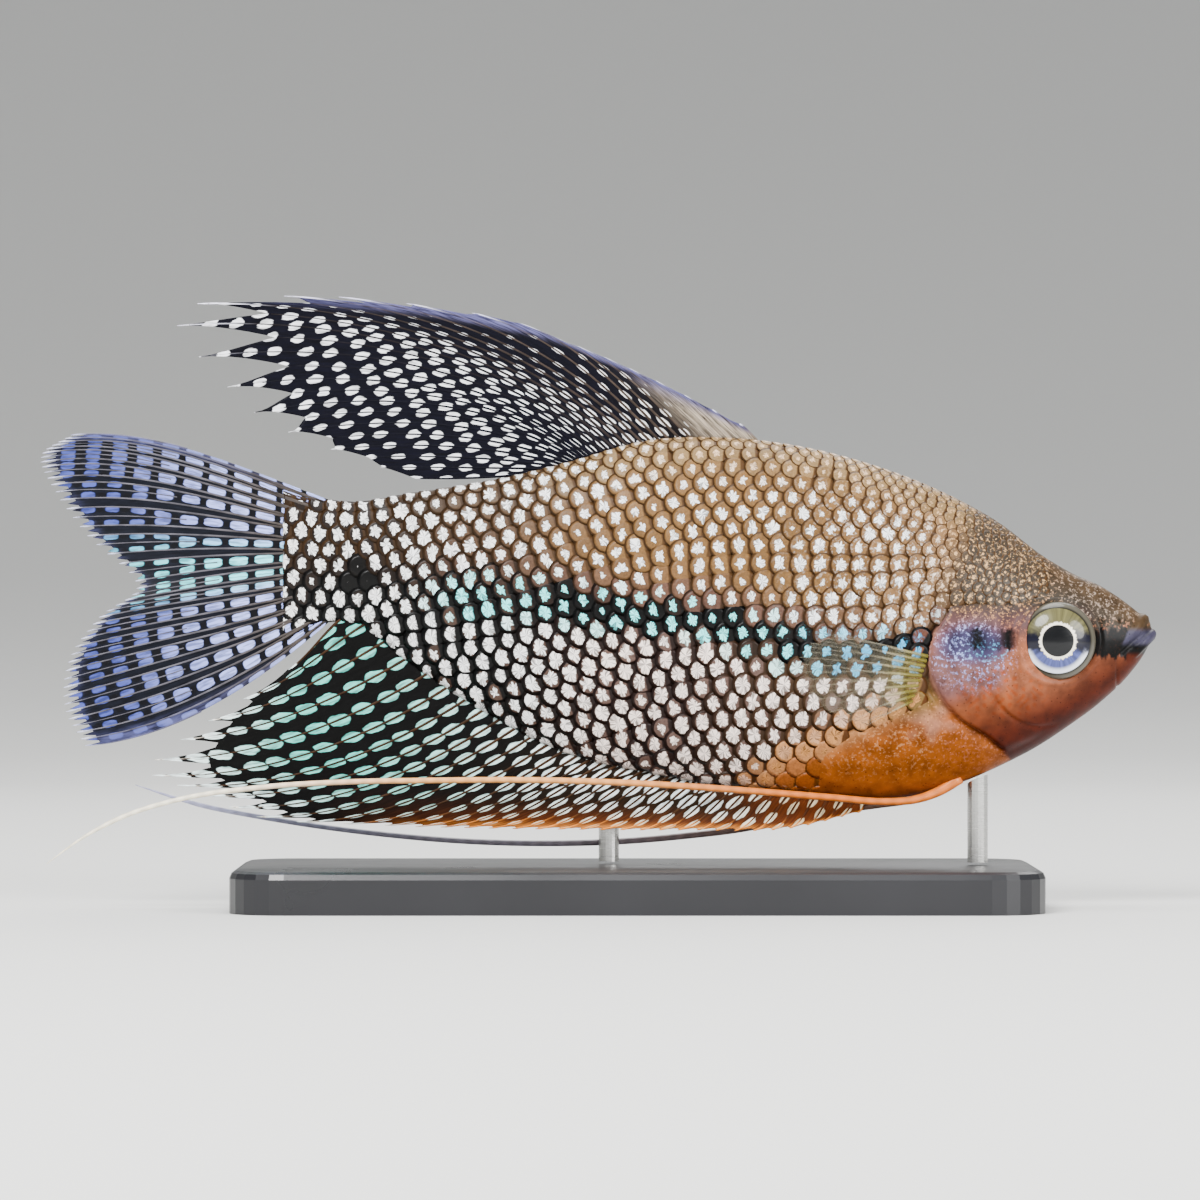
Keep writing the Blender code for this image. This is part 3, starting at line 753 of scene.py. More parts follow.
    def pearl(self, x: Array, z: Array) -> Array:
        """Colour of the pearls, with their size as alpha, as a part of the scale's radius."""
        over = self.above_band(x, z)
        ridge = ease(FORM.profile(x)[0] - z, 6.0, 2.2) * ease(x, -2.0, 10.0)
        nape = ease(x, 33.0, 38.0) * ease(over, -1.0, 3.0)
        near_band = ease(np.abs(over), 3.4, 1.3) * ease(x, -22.0, -14.0)
        orange = self.orange_share(x, z)
        colour = layered(
            Paint.PEARL_ROSE,
            (Paint.PEARL_WHITE, ease(over, -1.5, 1.5)),
            (Paint.PEARL_WHITE, ease(x, 4.0, -10.0)),
            (Paint.PEARL_GOLD, ridge * 0.85),
            (Paint.PEARL_GOLD, nape),
            (Paint.PEARL_AQUA, near_band * ease(x, 40.0, 30.0)),
            (Paint.PEARL_BLUE, near_band * ease(x, 18.0, 26.0) * 0.85),
            (Paint.PEARL_TAN, ease(orange, 0.05, 0.5)),
        )
        size = 0.47 + 0.2 * ease(over, 1.0, -4.0) + 0.12 * ease(x, -2.0, -16.0)
        size = size - 0.13 * ridge - 0.24 * nape - 0.03 * self.dark_share(x, z)
        colour[..., 3] = size * (1 - ease(orange, 0.45, 0.85)) * (1 - self.spot_share(x, z))
        return colour

    def head(self, x: Array, z: Array) -> Array:
        """Colour of the bare skin of the head and throat."""
        top, bottom, _ = FORM.profile(x)
        up = (z - bottom) / (top - bottom)
        waves = np.sin(4.6 * x + 1.9 * np.sin(2.7 * z)) * np.sin(4.1 * z + 1.6 * np.sin(2.3 * x))
        chin = ease(x, 49.0, 53.0) * ease(z, 28.3, 26.5)
        return layered(
            Paint.CHEEK,
            (Paint.MAUVE, ease(z, 27.5, 30.5)),
            (Paint.FOREHEAD, ease(z, 30.5, 33.0)),
            (Paint.FOREHEAD, ease(x, 50.0, 53.5) * ease(z, 28.5, 30.0)),
            (Paint.NAPE_GREY, ease(top - z, 3.5, 0.4) * ease(x, 38.0, 48.0)),
            (Paint.GILL_ROSE, 0.9 * within(x, z, self.gill, 1.15, 0.7)),
            (Paint.GILL_PURPLE, within(x, z, self.gill_upper, 1.2, 0.5)),
            (Paint.GILL_ORANGE, 0.8 * within(x, z, self.gill_lower, 1.2, 0.5)),
            (Paint.AMBER, 0.6 * ease(waves, 0.1, 0.6) * within(x, z, self.gill_spots, 1.15, 0.6)),
            (Paint.THROAT, ease(up, 0.42, 0.12)),
            (Paint.THROAT_DARK, ease(up, 0.16, 0.0)),
            (Paint.THROAT, chin * 0.65),
            (Paint.MASK, self.mask_share(x, z)),
        )

    def fleck(self, x: Array, z: Array) -> Array:
        """Colour of the glittering flecks on the head, with how thickly they lie as alpha."""
        top, bottom, _ = FORM.profile(x)
        up = (z - bottom) / (top - bottom)
        silver = within(x, z, self.silver, 1.1, 0.6)
        colour = layered(
            Paint.FLECK_PINK,
            (Paint.FLECK_GOLD, np.maximum(ease(z, 29.5, 32.0), 0.7 * ease(x, 38.0, 34.0))),
            (Paint.FLECK_GREY, ease(x, 46.0, 51.0) * ease(z, 30.0, 31.5)),
            (Paint.FLECK_SILVER, silver),
            (Paint.FLECK_AQUA, 0.8 * within(x, z, self.aqua, 1.1, 0.4)),
        )
        chin = ease(x, 49.0, 54.0) * ease(z, 28.0, 26.5)
        amount = 0.7 + 0.1 * ease(z, 29.5, 32.0) + 0.3 * silver
        amount = amount * ease(up, 0.25, 0.5) * (1 - 0.8 * chin)
        colour[..., 3] = amount * (1 - 0.96 * self.mask_share(x, z))
        return colour


MARKS = Markings()


@dataclass(frozen=True)
class HeadLines:
    """Lines of the head, seen from the side.

    Attributes:
        cut: Rear edge of the head and gill cover, x and z.
        nape: Lower edge of the small scales over the head, x and z.
        nape_end: Where the scales over the head end, toward the snout.
        eye: Centre of the right and left eye, with y on the left.
        eye_radius: Radius of the eye seen from the side.
        eye_half_depth: Half of the eye's depth.
    """

    cut: tuple = (
        (41.2, 46.0),
        (40.2, 41.0),
        (38.6, 36.0),
        (37.4, 32.2),
        (35.6, 29.4),
        (35.0, 26.6),
        (35.9, 23.4),
        (38.3, 20.4),
        (41.6, 18.2),
        (44.2, 15.8),
        (45.4, 12.0),
    )
    nape: tuple = ((37.0, 32.4), (44.0, 32.7), (48.0, 33.5), (51.0, 32.9), (54.0, 31.7), (59.0, 31.4))
    nape_end: float = 50.0
    eye: tuple = (48.83, 4.15, 28.63)
    eye_radius: float = 4.2
    eye_half_depth: float = 2.05

    def cut_x(self, z: Array) -> Array:
        """X of the rear edge of the head at height z."""
        line = np.array(self.cut)[::-1]
        return smooth(line[:, 1], line[:, 0], z)

    def ahead(self, x: Array, z: Array) -> Array:
        """Distance ahead of the rear edge of the head, negative behind it."""
        steps = np.linspace(0, len(self.cut) - 1, 120)
        line = smooth(np.arange(len(self.cut)), self.cut, steps)
        away = np.hypot(x[:, None] - line[None, :, 0], z[:, None] - line[None, :, 1]).min(axis=1)
        return np.where(x > self.cut_x(z), away, -away)

    def breast(self, x: Array, z: Array) -> Array:
        """How far the scales have sunk into the soft skin of the breast."""
        return ease(MARKS.orange_share(x, z), 0.5, 0.95) * ease(x, 20.0, 28.0)

    def sunk(self, x: Array, z: Array) -> Array:
        """How far the skin rises to the height of the scales' outer faces."""
        return np.maximum(ease(self.breast(x, z), 0.0, 0.5), ease(x, 45.5, 49.5))

    def scaled(self, x: Array, z: Array) -> Array:
        """Whether scales grow at each place."""
        line = np.array(self.nape)
        over = z > np.interp(x, line[:, 0], line[:, 1])
        behind = (x < self.cut_x(z) - 0.35) & (self.breast(x, z) < 0.5)
        clear = np.hypot(x - self.eye[0], z - self.eye[2]) > self.eye_radius + 0.35
        return (behind | over & (x < self.nape_end)) & clear


HEAD = HeadLines()


@dataclass(frozen=True)
class ScaleFinish:
    """Fish scale: a thin bony plate over pigment and a mirror of guanine crystals.

    The pigment gives a brown ground with a dark edge, and the crystals a white star with fine
    rays. The same dark colour over the plate's front is painted shade, where the scale ahead
    lies over it. The skin's slime gives a wet gloss.

    Attributes:
        roughness: Roughness under the slime.
        gloss: Weight of the wet coat.
        pearl_shift: How far behind the plate's centre the pearl lies, in radii.
        mottle_size: Size of the pale mottling between pearls in millimetres.
    """

    roughness: float = 0.42
    gloss: float = 0.08
    pearl_shift: float = 0.2
    mottle_size: float = 0.36

    def material(self) -> bpy.types.Material:
        """The finish as a material."""
        look = Shade("Fish scale over guanine")
        place = look.add("UVMap", uv_map="ScalePlace")
        seed = look.read("seed", "Fac")
        ground = look.read("ground")
        net = look.read("net")
        net_width = look.read("net", "Alpha")
        pearl = look.read("pearl")
        pearl_size = look.read("pearl", "Alpha")

        turn = look.math("MULTIPLY", seed, 40.0)
        ripple = look.noise(place, 2.3, 1.0, turn=turn, out="Color")
        ripple = look.vector("SUBTRACT", ripple, (0.5, 0.5, 0.5))
        ripple = look.scaled(ripple, 0.42)
        away = look.vector("SUBTRACT", place, (self.pearl_shift, 0, 0))
        away = look.vector("ADD", away, ripple)
        away = look.vector("MULTIPLY", away, (1.25, 0.95, 0))
        radius = look.length(away)
        heading = look.vector("NORMALIZE", away)
        lobes = look.noise(heading, 1.5, 1.0, turn=turn)
        reach = look.ramp(lobes, 0.3, 0.7, 0.55, 1.3)
        reach = look.math("MULTIPLY", reach, pearl_size)
        inside = look.math("SUBTRACT", reach, radius)
        inside = look.ramp(inside, -0.035, 0.045, soft=True)
        rays = look.noise(heading, 4.2, 2.0, turn=turn)
        rays = look.ramp(rays, 0.4, 0.53, 0.22, 1.0)
        star = look.tint(pearl, rays)

        uneven = look.scaled(ripple, 0.35)
        uneven = look.vector("ADD", place, uneven)
        length = look.length(uneven)
        rear_start = look.math("SUBTRACT", 0.97, net_width)
        rear = look.math("SUBTRACT", length, rear_start)
        rear = look.ramp(rear, -0.05, 0.04, soft=True)
        # The dark rim is the outline's own pigment; the same net colour over the plate's front, where the
        # rear edge of the scale ahead lies, is painted shade.
        across = look.part(uneven)
        shaded_front_start = look.math("SUBTRACT", 0.52, net_width)
        front = look.math("MULTIPLY", across, -1.0)
        front = look.math("SUBTRACT", front, shaded_front_start)
        front = look.ramp(front, -0.08, 0.08, soft=True)
        edge = look.math("MAXIMUM", rear, front)

        grain = look.noise(place, 6.0, 3.0, turn=turn)
        tone = look.ramp(grain, 0.3, 0.7, 0.72, 1.25)
        plain = look.tint(ground, tone)
        glint = look.read("ground", "Alpha")
        spot_at = look.add("TexCoord", out="Object")
        mottle = look.noise(spot_at, 1 / (self.mottle_size * MM), 3.0, rough=0.6)
        mottle = look.ramp(mottle, 0.53, 0.66, end=0.8)
        mottle = look.math("MULTIPLY", mottle, glint)
        plain = look.mix(mottle, plain, pearl)
        colour = look.mix(inside, plain, star)
        colour = look.mix(edge, colour, net)
        look.set("Base Color", colour)
        shine = look.ramp(inside, 0.0, 1.0, self.roughness, self.roughness - 0.12)
        look.set("Roughness", shine)
        look.bump(grain, 0.25, 0.05)
        look.set("Specular IOR Level", 0.12)
        look.set("Coat Weight", self.gloss)
        look.set("Coat Roughness", 0.14)
        return look.material


@dataclass(frozen=True)
class SkinFinish:
    """Fish skin: soft pigmented skin with glittering pigment cells, wet with slime.

    The pigment gives soft mottling, and single cells a fine glitter and dark freckles.

    Attributes:
        mottle_size: Size of the pale mottling in millimetres.
        fleck_size: Spacing of the glittering flecks in millimetres.
        freckle_size: Spacing of the dark freckles in millimetres.
        roughness: Roughness under the slime.
    """

    mottle_size: float = 0.36
    fleck_size: float = 0.3
    freckle_size: float = 0.6
    roughness: float = 0.38

    def material(self) -> bpy.types.Material:
        """The finish as a material."""
        look = Shade("Fish skin with pigment cells")
        place = look.add("TexCoord", out="Object")
        ground = look.read("ground")
        fleck = look.read("fleck")
        amount = look.read("fleck", "Alpha")

        cloud = look.noise(place, 1 / (1.6 * MM), 6.0)
        tone = look.ramp(cloud, 0.32, 0.68, 0.62, 1.3)
        base = look.tint(ground, tone)

        mottle = look.noise(place, 1 / (self.mottle_size * MM), 3.0, rough=0.6)
        mottle = look.ramp(mottle, 0.53, 0.66, end=0.8)
        mottle = look.math("MULTIPLY", mottle, amount)
        colour = look.mix(mottle, base, fleck)

        cells = {"Vector": place, "Scale": 1 / (self.fleck_size * MM)}
        spot = look.add("TexVoronoi", cells)
        chance = look.add("TexVoronoi", cells, "Color")
        chance = look.add("SeparateColor", {0: chance})
        reach = look.ramp(chance, 0.45, 1.0, 0.0, 0.4)
        reach = look.math("MULTIPLY", reach, amount)
        glitter = look.math("SUBTRACT", reach, spot)
        glitter = look.ramp(glitter, -0.06, 0.06, end=0.9)
        colour = look.mix(glitter, colour, fleck)

        cells = look.add("TexVoronoi", {"Vector": place, "Scale": 1 / (self.freckle_size * MM)})
        dots = look.ramp(cells, 0.18, 0.1, 0.0, 0.65)
        dark = look.tint(ground, (0.2, 0.15, 0.15, 1))
        colour = look.mix(dots, colour, dark)
        look.set("Base Color", colour)
        look.bump(cloud, 0.3, 0.15)
        look.set("Roughness", self.roughness)
        look.set("Specular IOR Level", 0.08)
        look.set("Coat Weight", 0.04)
        look.set("Coat Roughness", 0.15)
        return look.material


@dataclass(frozen=True)
class FinFinish:
    """Fin membrane: two thin layers of skin over the rays, with rows of pale spots.

    Attributes:
        name: Name of the material.
        half_across: Half of a spot's width, in spacings of the rays.
        half_along: Half of a spot's length, in periods.
        stagger: Shift of every second ray's spots, in periods.
        ripple: How ragged the spots are.
        squareness: 2 for oval spots, more for blocks.
        dot: Colour of the dots between the spots of a ray.
        dot_half: Half sizes of a dot across and along the ray, or 0 for none.
        splits: Whether each row of spots parts in two, by the attribute parted.
        roughness: Roughness of the wet membrane.
    """

    name: str
    half_across: float = 0.36
    half_along: float = 0.3
    stagger: float = 0.5
    ripple: float = 0.3
    squareness: float = 2.0
    dot: str = "#0c0c10"
    dot_half: tuple = (0.0, 0.0)
    splits: bool = False
    roughness: float = 0.45

    def material(self) -> bpy.types.Material:
        """The finish as a material."""
        look = Shade(self.name)
        place = look.add("UVMap", uv_map="RayPlace")
        ground = look.read("ground")
        spot = look.read("spot")
        size = look.read("spot", "Alpha")
        blade = look.read("blade")
        bladed = look.read("blade", "Alpha")
        spread = look.read("spread", "Fac")
        across = look.part(place)
        along = look.part(place, "Y")
        ray = look.math("ROUND", across)
        odd = look.math("MODULO", ray, 2.0)
        row = look.math("MULTIPLY_ADD", odd, self.stagger, along)
        cell = look.math("FLOOR", row)
        cell_at = look.add("CombineXYZ", {0: ray, 1: cell})
        chance = look.add("TexWhiteNoise", {"Vector": cell_at}, "Color", noise_dimensions="3D")
        chance = look.vector("SUBTRACT", chance, (0.5, 0.5, 0.5))
        fu = look.math("SUBTRACT", across, ray)
        if self.splits:
            fu = look.math("ABSOLUTE", fu)
            parted = look.read("parted", "Fac")
            fu = look.math("SUBTRACT", fu, parted)
        fu = look.math("MULTIPLY", fu, spread)
        fv = look.math("SUBTRACT", row, cell)
        fv = look.math("SUBTRACT", fv, 0.5)
        away = look.add("CombineXYZ", {0: fu, 1: fv})
        loose = (0.3 * self.ripple, 0.6 * self.ripple, 0)
        shift = look.vector("MULTIPLY", chance, loose)
        away = look.vector("SUBTRACT", away, shift)
        wave = look.noise(place, 2.6, 1.5, out="Color")
        wave = look.vector("SUBTRACT", wave, (0.5, 0.5, 0.5))
        wave = look.scaled(wave, self.ripple)
        away = look.vector("ADD", away, wave)
        shape = (1 / self.half_across, 1 / self.half_along, 0)
        away = look.vector("MULTIPLY", away, shape)
        radius = self.rounded(look, away)
        inside = look.math("SUBTRACT", size, radius)
        inside = look.ramp(inside, -0.1, 0.12, soft=True)
        inside = look.math("MULTIPLY", inside, size, clamp=True)
        streak_at = look.vector("MULTIPLY", place, (7.0, 1.2, 0))
        streak = look.noise(streak_at, 1.0, 3.0)
        tone = look.ramp(streak, 0.38, 0.56, 0.45, 1.0)
        pale = look.tint(spot, tone)
        fine = look.ramp(streak, 0.3, 0.7, 0.55, 1.5)
        base = look.tint(ground, fine)
        if self.dot_half[0]:
            beside = look.math("ABSOLUTE", fv)
            beside = look.math("SUBTRACT", 0.5, beside)
            dot_at = look.add("CombineXYZ", {0: fu, 1: beside})
            dot_shape = (1 / self.dot_half[0], 1 / self.dot_half[1], 0)
            dot_at = look.vector("MULTIPLY", dot_at, dot_shape)
            dot_at = look.length(dot_at)
            dots = look.ramp(dot_at, 1.15, 0.85, soft=True)
            dots = look.math("MULTIPLY", dots, size, clamp=True)
        colour = look.mix(inside, base, pale)
        if self.dot_half[0]:
            colour = look.mix(dots, colour, self.dot)
        stripes = look.ramp(streak, 0.34, 0.62, 0.12, 1.0)
        stripes = look.math("MULTIPLY", stripes, bladed)
        colour = look.mix(stripes, colour, blade)
        look.set("Base Color", colour)
        look.bump(streak, 0.3, 0.06)
        look.set("Roughness", self.roughness)
        look.set("Specular IOR Level", 0.08)
        return look.material

    def rounded(self, look: Shade, away: Socket) -> Socket:
        """Distance from a spot's middle, by the rule of the spot's shape.

        Args:
            look: Material to add to.
            away: Place from the spot's middle, in half sizes.

        Returns:
            1 on the spot's outline.
        """
        if self.squareness == 2.0:
            return look.length(away)
        away = look.vector("ABSOLUTE", away)
        total = None
        for axis in ("X", "Y"):
            part = look.part(away, axis)
            part = look.math("POWER", part, self.squareness)
            total = part if total is None else look.math("ADD", total, part)
        return look.math("POWER", total, 1 / self.squareness)


@dataclass(frozen=True)
class EyeFinish:
    """Fish eye: a reflecting iris round a black pupil, under a clear cornea.

    Attributes:
        side: Which eye.
        pupil: Radius of the pupil in millimetres.
        ring: Outer radius of the bright ring.
        iris: Outer radius of the iris.
        dark: Colour of the iris across its middle.
        upper: Colour of its upper part.
        lower: Colour of its lower part.
        pale: Colour of its lower rim.
        bright: Colour of the ring round the pupil.
        black: Colour of the pupil.
        socket: Colours of the socket, near the iris and away from it.
    """

    side: Side
    pupil: float = 1.7
    ring: float = 2.0
    iris: float = 3.47
    dark: str = "#050518"
    upper: str = "#5a5636"
    lower: str = "#474f87"
    pale: str = "#eef2fb"
    bright: str = "#fff6e2"
    black: str = "#040508"
    socket: tuple = ("#0b0905", "#4e4a3f")

    def material(self) -> bpy.types.Material:
        """The finish as a material."""
        look = Shade(f"Fish eye {self.side.label}")
        place = look.add("TexCoord", out="Object")
        centre = tuple(v * MM for v in HEAD.eye)
        away = look.vector("SUBTRACT", place, centre)
        away = look.vector("MULTIPLY", away, (1 / MM, 0, 1 / MM))
        radius = look.length(away)
        heading = look.vector("NORMALIZE", away)
        fibre = look.noise(heading, 9.0, 3.0)
        up = look.part(away, "Z")
        cloud = look.noise(away, 1.3, 3.0)
        up = look.math("MULTIPLY_ADD", cloud, 1.2, up)
        upper = look.ramp(up, 1.1, 2.1, soft=True)
        lower = look.ramp(up, -0.1, -1.1, soft=True)
        colour = look.mix(upper, self.dark, self.upper)
        colour = look.mix(lower, colour, self.lower)
        tone = look.ramp(fibre, 0.3, 0.7, 0.6, 1.35)
        colour = look.tint(colour, tone)
        rim = look.ramp(radius, self.iris - 0.75, self.iris - 0.15, soft=True)
        rim = look.math("MULTIPLY", rim, lower)
        colour = look.mix(rim, colour, self.pale)
        jag = look.ramp(fibre, 0.3, 0.7, -0.12, 0.12)
        edge = look.math("ADD", radius, jag)
        bright = look.ramp(edge, self.ring + 0.1, self.ring - 0.08, soft=True)
        colour = look.mix(bright, colour, self.bright)
        black = look.ramp(radius, self.pupil + 0.04, self.pupil - 0.04, soft=True)
        colour = look.mix(black, colour, self.black)
        outside = look.ramp(radius, self.iris - 0.03, self.iris + 0.05, soft=True)
        away_share = look.ramp(radius, self.iris + 0.05, self.iris + 0.3)
        socket = look.mix(away_share, *self.socket)
        colour = look.mix(outside, colour, socket)
        look.set("Base Color", colour)
        look.set("Roughness", 0.3)
        look.set("Specular IOR Level", 0.2)
        look.set("Coat Weight", 0.6)
        look.set("Coat Roughness", 0.02)
        look.set("Coat IOR", 1.38)
        return look.material


@dataclass(frozen=True)
class FilamentFinish:
    """Filament: one long soft ray in thin skin, smooth and slightly clear, with faint joints.

    Attributes:
        name: Name of the material.
        joint: Distance between its faint joints in millimetres.
    """

    name: str = "Fin filament"
    joint: float = 5.0

    def material(self) -> bpy.types.Material:
        """The finish as a material."""
        look = Shade(self.name)
        place = look.add("TexCoord", out="Object")
        ground = look.read("ground")
        rings = {"Vector": place, "Scale": 1 / (self.joint * MM), "Distortion": 1.0, "Detail": 1.0}
        joints = look.add("TexWave", rings)
        tone = look.ramp(joints, 0.0, 1.0, 0.86, 1.08)
        colour = look.tint(ground, tone)
        look.set("Base Color", colour)
        look.bump(joints, 0.2, 0.03)
        look.set("Roughness", 0.35)
        look.set("Subsurface Weight", 0.2)
        look.set("Subsurface Radius", (0.4 * MM, 0.3 * MM, 0.2 * MM))
        return look.material


@dataclass(frozen=True)
class BaseFinish:
    """Acrylic, moulded and satin black, as stands in museum cases are.

    Attributes:
        colour: Colour of the plastic.
        worn: Colour of its paler places.
        roughness: Mean roughness of the satin face.
    """

    colour: str = "#17171a"
    worn: str = "#202024"
    roughness: float = 0.32

    def material(self) -> bpy.types.Material:
        """The finish as a material."""
        look = Shade("Black moulded acrylic")
        place = look.add("TexCoord", out="Object")
        grain = look.noise(place, 1 / (0.5 * MM), 3.0)
        smear = look.noise(place, 1 / (22 * MM), 3.0)
        tone = look.mix(smear, self.colour, self.worn)
        look.set("Base Color", tone)
        rough = look.ramp(smear, 0.3, 0.7, self.roughness - 0.07, self.roughness + 0.08)
        look.set("Roughness", rough)
        look.bump(grain, 0.1, 0.02)
        look.set("IOR", 1.49)
        return look.material


@dataclass(frozen=True)
class RodFinish:
    """Stainless steel rod, brushed round its length.

    Attributes:
        colour: Colour of the metal.
        grit: Spacing of the brush lines in millimetres.
    """

    colour: str = "#c3c2bf"
    grit: float = 0.12

    def material(self) -> bpy.types.Material:
        """The finish as a material."""
        look = Shade("Brushed stainless steel")
        place = look.add("TexCoord", out="Object")
        lines_at = look.vector("MULTIPLY", place, (0.1 / MM, 0.1 / MM, 1 / (self.grit * MM)))
        lines = look.noise(lines_at, 1.0, 2.0)
        rough = look.ramp(lines, 0.3, 0.7, 0.22, 0.4)
        look.set("Roughness", rough)
        look.bump(lines, 0.15, 0.02)
        look.set("Base Color", self.colour)
        look.set("Metallic", 1.0)
        return look.material


@dataclass(frozen=True)
class FloorFinish:
    """Seamless paper sweep, matt and pale.

    Attributes:
        colour: Colour of the paper.
    """

    colour: str = "#d9d9d6"

    def material(self) -> bpy.types.Material:
        """The finish as a material."""
        look = Shade("Pale paper sweep")
        place = look.add("TexCoord", out="Object")
        fibre = look.noise(place, 1 / (0.8 * MM), 2.0)
        look.bump(fibre, 0.05, 0.02)
        look.set("Base Color", self.colour)
        look.set("Roughness", 0.9)
        return look.material


def loft(name: str, rings: Array) -> bpy.types.Object:
    """Roll a grid into a closed tube with capped ends.

    Args:
        name: Name of the piece.
        rings: Points of each ring, shape (ring, side, 3).

    Returns:
        The closed object.
    """
    count, sides, _ = rings.shape
    deselect()
    bpy.ops.mesh.primitive_grid_add(x_subdivisions=sides, y_subdivisions=count - 1, size=1)
    obj = bpy.context.object
    obj.name = name
    obj.data.name = name
    wrapped = np.concatenate((rings, rings[:, :1]), axis=1)
    set_points(obj, wrapped.reshape(-1, 3))
    bpy.ops.object.mode_set(mode="EDIT")
    bpy.ops.mesh.select_all(action="SELECT")
    bpy.ops.mesh.remove_doubles(threshold=0.0001 * MM)
    bpy.ops.mesh.select_all(action="DESELECT")
    bpy.ops.mesh.select_non_manifold()
    bpy.ops.mesh.fill_holes(sides=0)
    bpy.ops.mesh.select_all(action="SELECT")
    bpy.ops.mesh.normals_make_consistent(inside=False)
    bpy.ops.object.mode_set(mode="OBJECT")
    return obj


def tube_rings(path: Array, radii: Array, sides: int) -> Array:
    """Rings of a round tube along a path.

    Args:
        path: Points of the middle line.
        radii: Radius at each point.
        sides: Corners of each ring.

    Returns:
        Points, shape (ring, side, 3).
    """
    along = np.gradient(path, axis=0)
    along /= np.linalg.norm(along, axis=1, keepdims=True)
    rise = np.cross(along, (0.0, 1.0, 0.0))
    flat = np.linalg.norm(rise, axis=1, keepdims=True) < 0.2
    rise = np.where(flat, np.cross(along, (0.0, 0.0, 1.0)), rise)
    rise /= np.linalg.norm(rise, axis=1, keepdims=True)
    aside = np.cross(along, rise)
    turns = np.linspace(0, 2 * math.pi, sides, endpoint=False)
    spokes = rise[:, None] * np.cos(turns)[None, :, None] + aside[:, None] * np.sin(turns)[None, :, None]
    return path[:, None] + spokes * radii[:, None, None]


def ball(name: str, side: Side, slack: tuple, segments: int) -> bpy.types.Object:
    """Make a ball in the place of an eye, its poles along Y.

    Args:
        name: Name of the piece.
        side: Which eye.
        slack: How much larger it is than the eye, in radius and in half depth.
        segments: Faces round the poles.

    Returns:
        The ball.
    """
    deselect()
    bpy.ops.mesh.primitive_uv_sphere_add(segments=segments, ring_count=segments // 2, radius=1)
    obj = bpy.context.object
    obj.name = name
    ready = points_of(obj)[:, [0, 2, 1]] * MM * (1, 1, -1)
    radius = HEAD.eye_radius + slack[0]
    radii = (radius, HEAD.eye_half_depth + slack[1], radius)
    set_points(obj, ready * radii + np.array(HEAD.eye) * (1, side.value, 1))
    turn_outward(obj)
    return obj


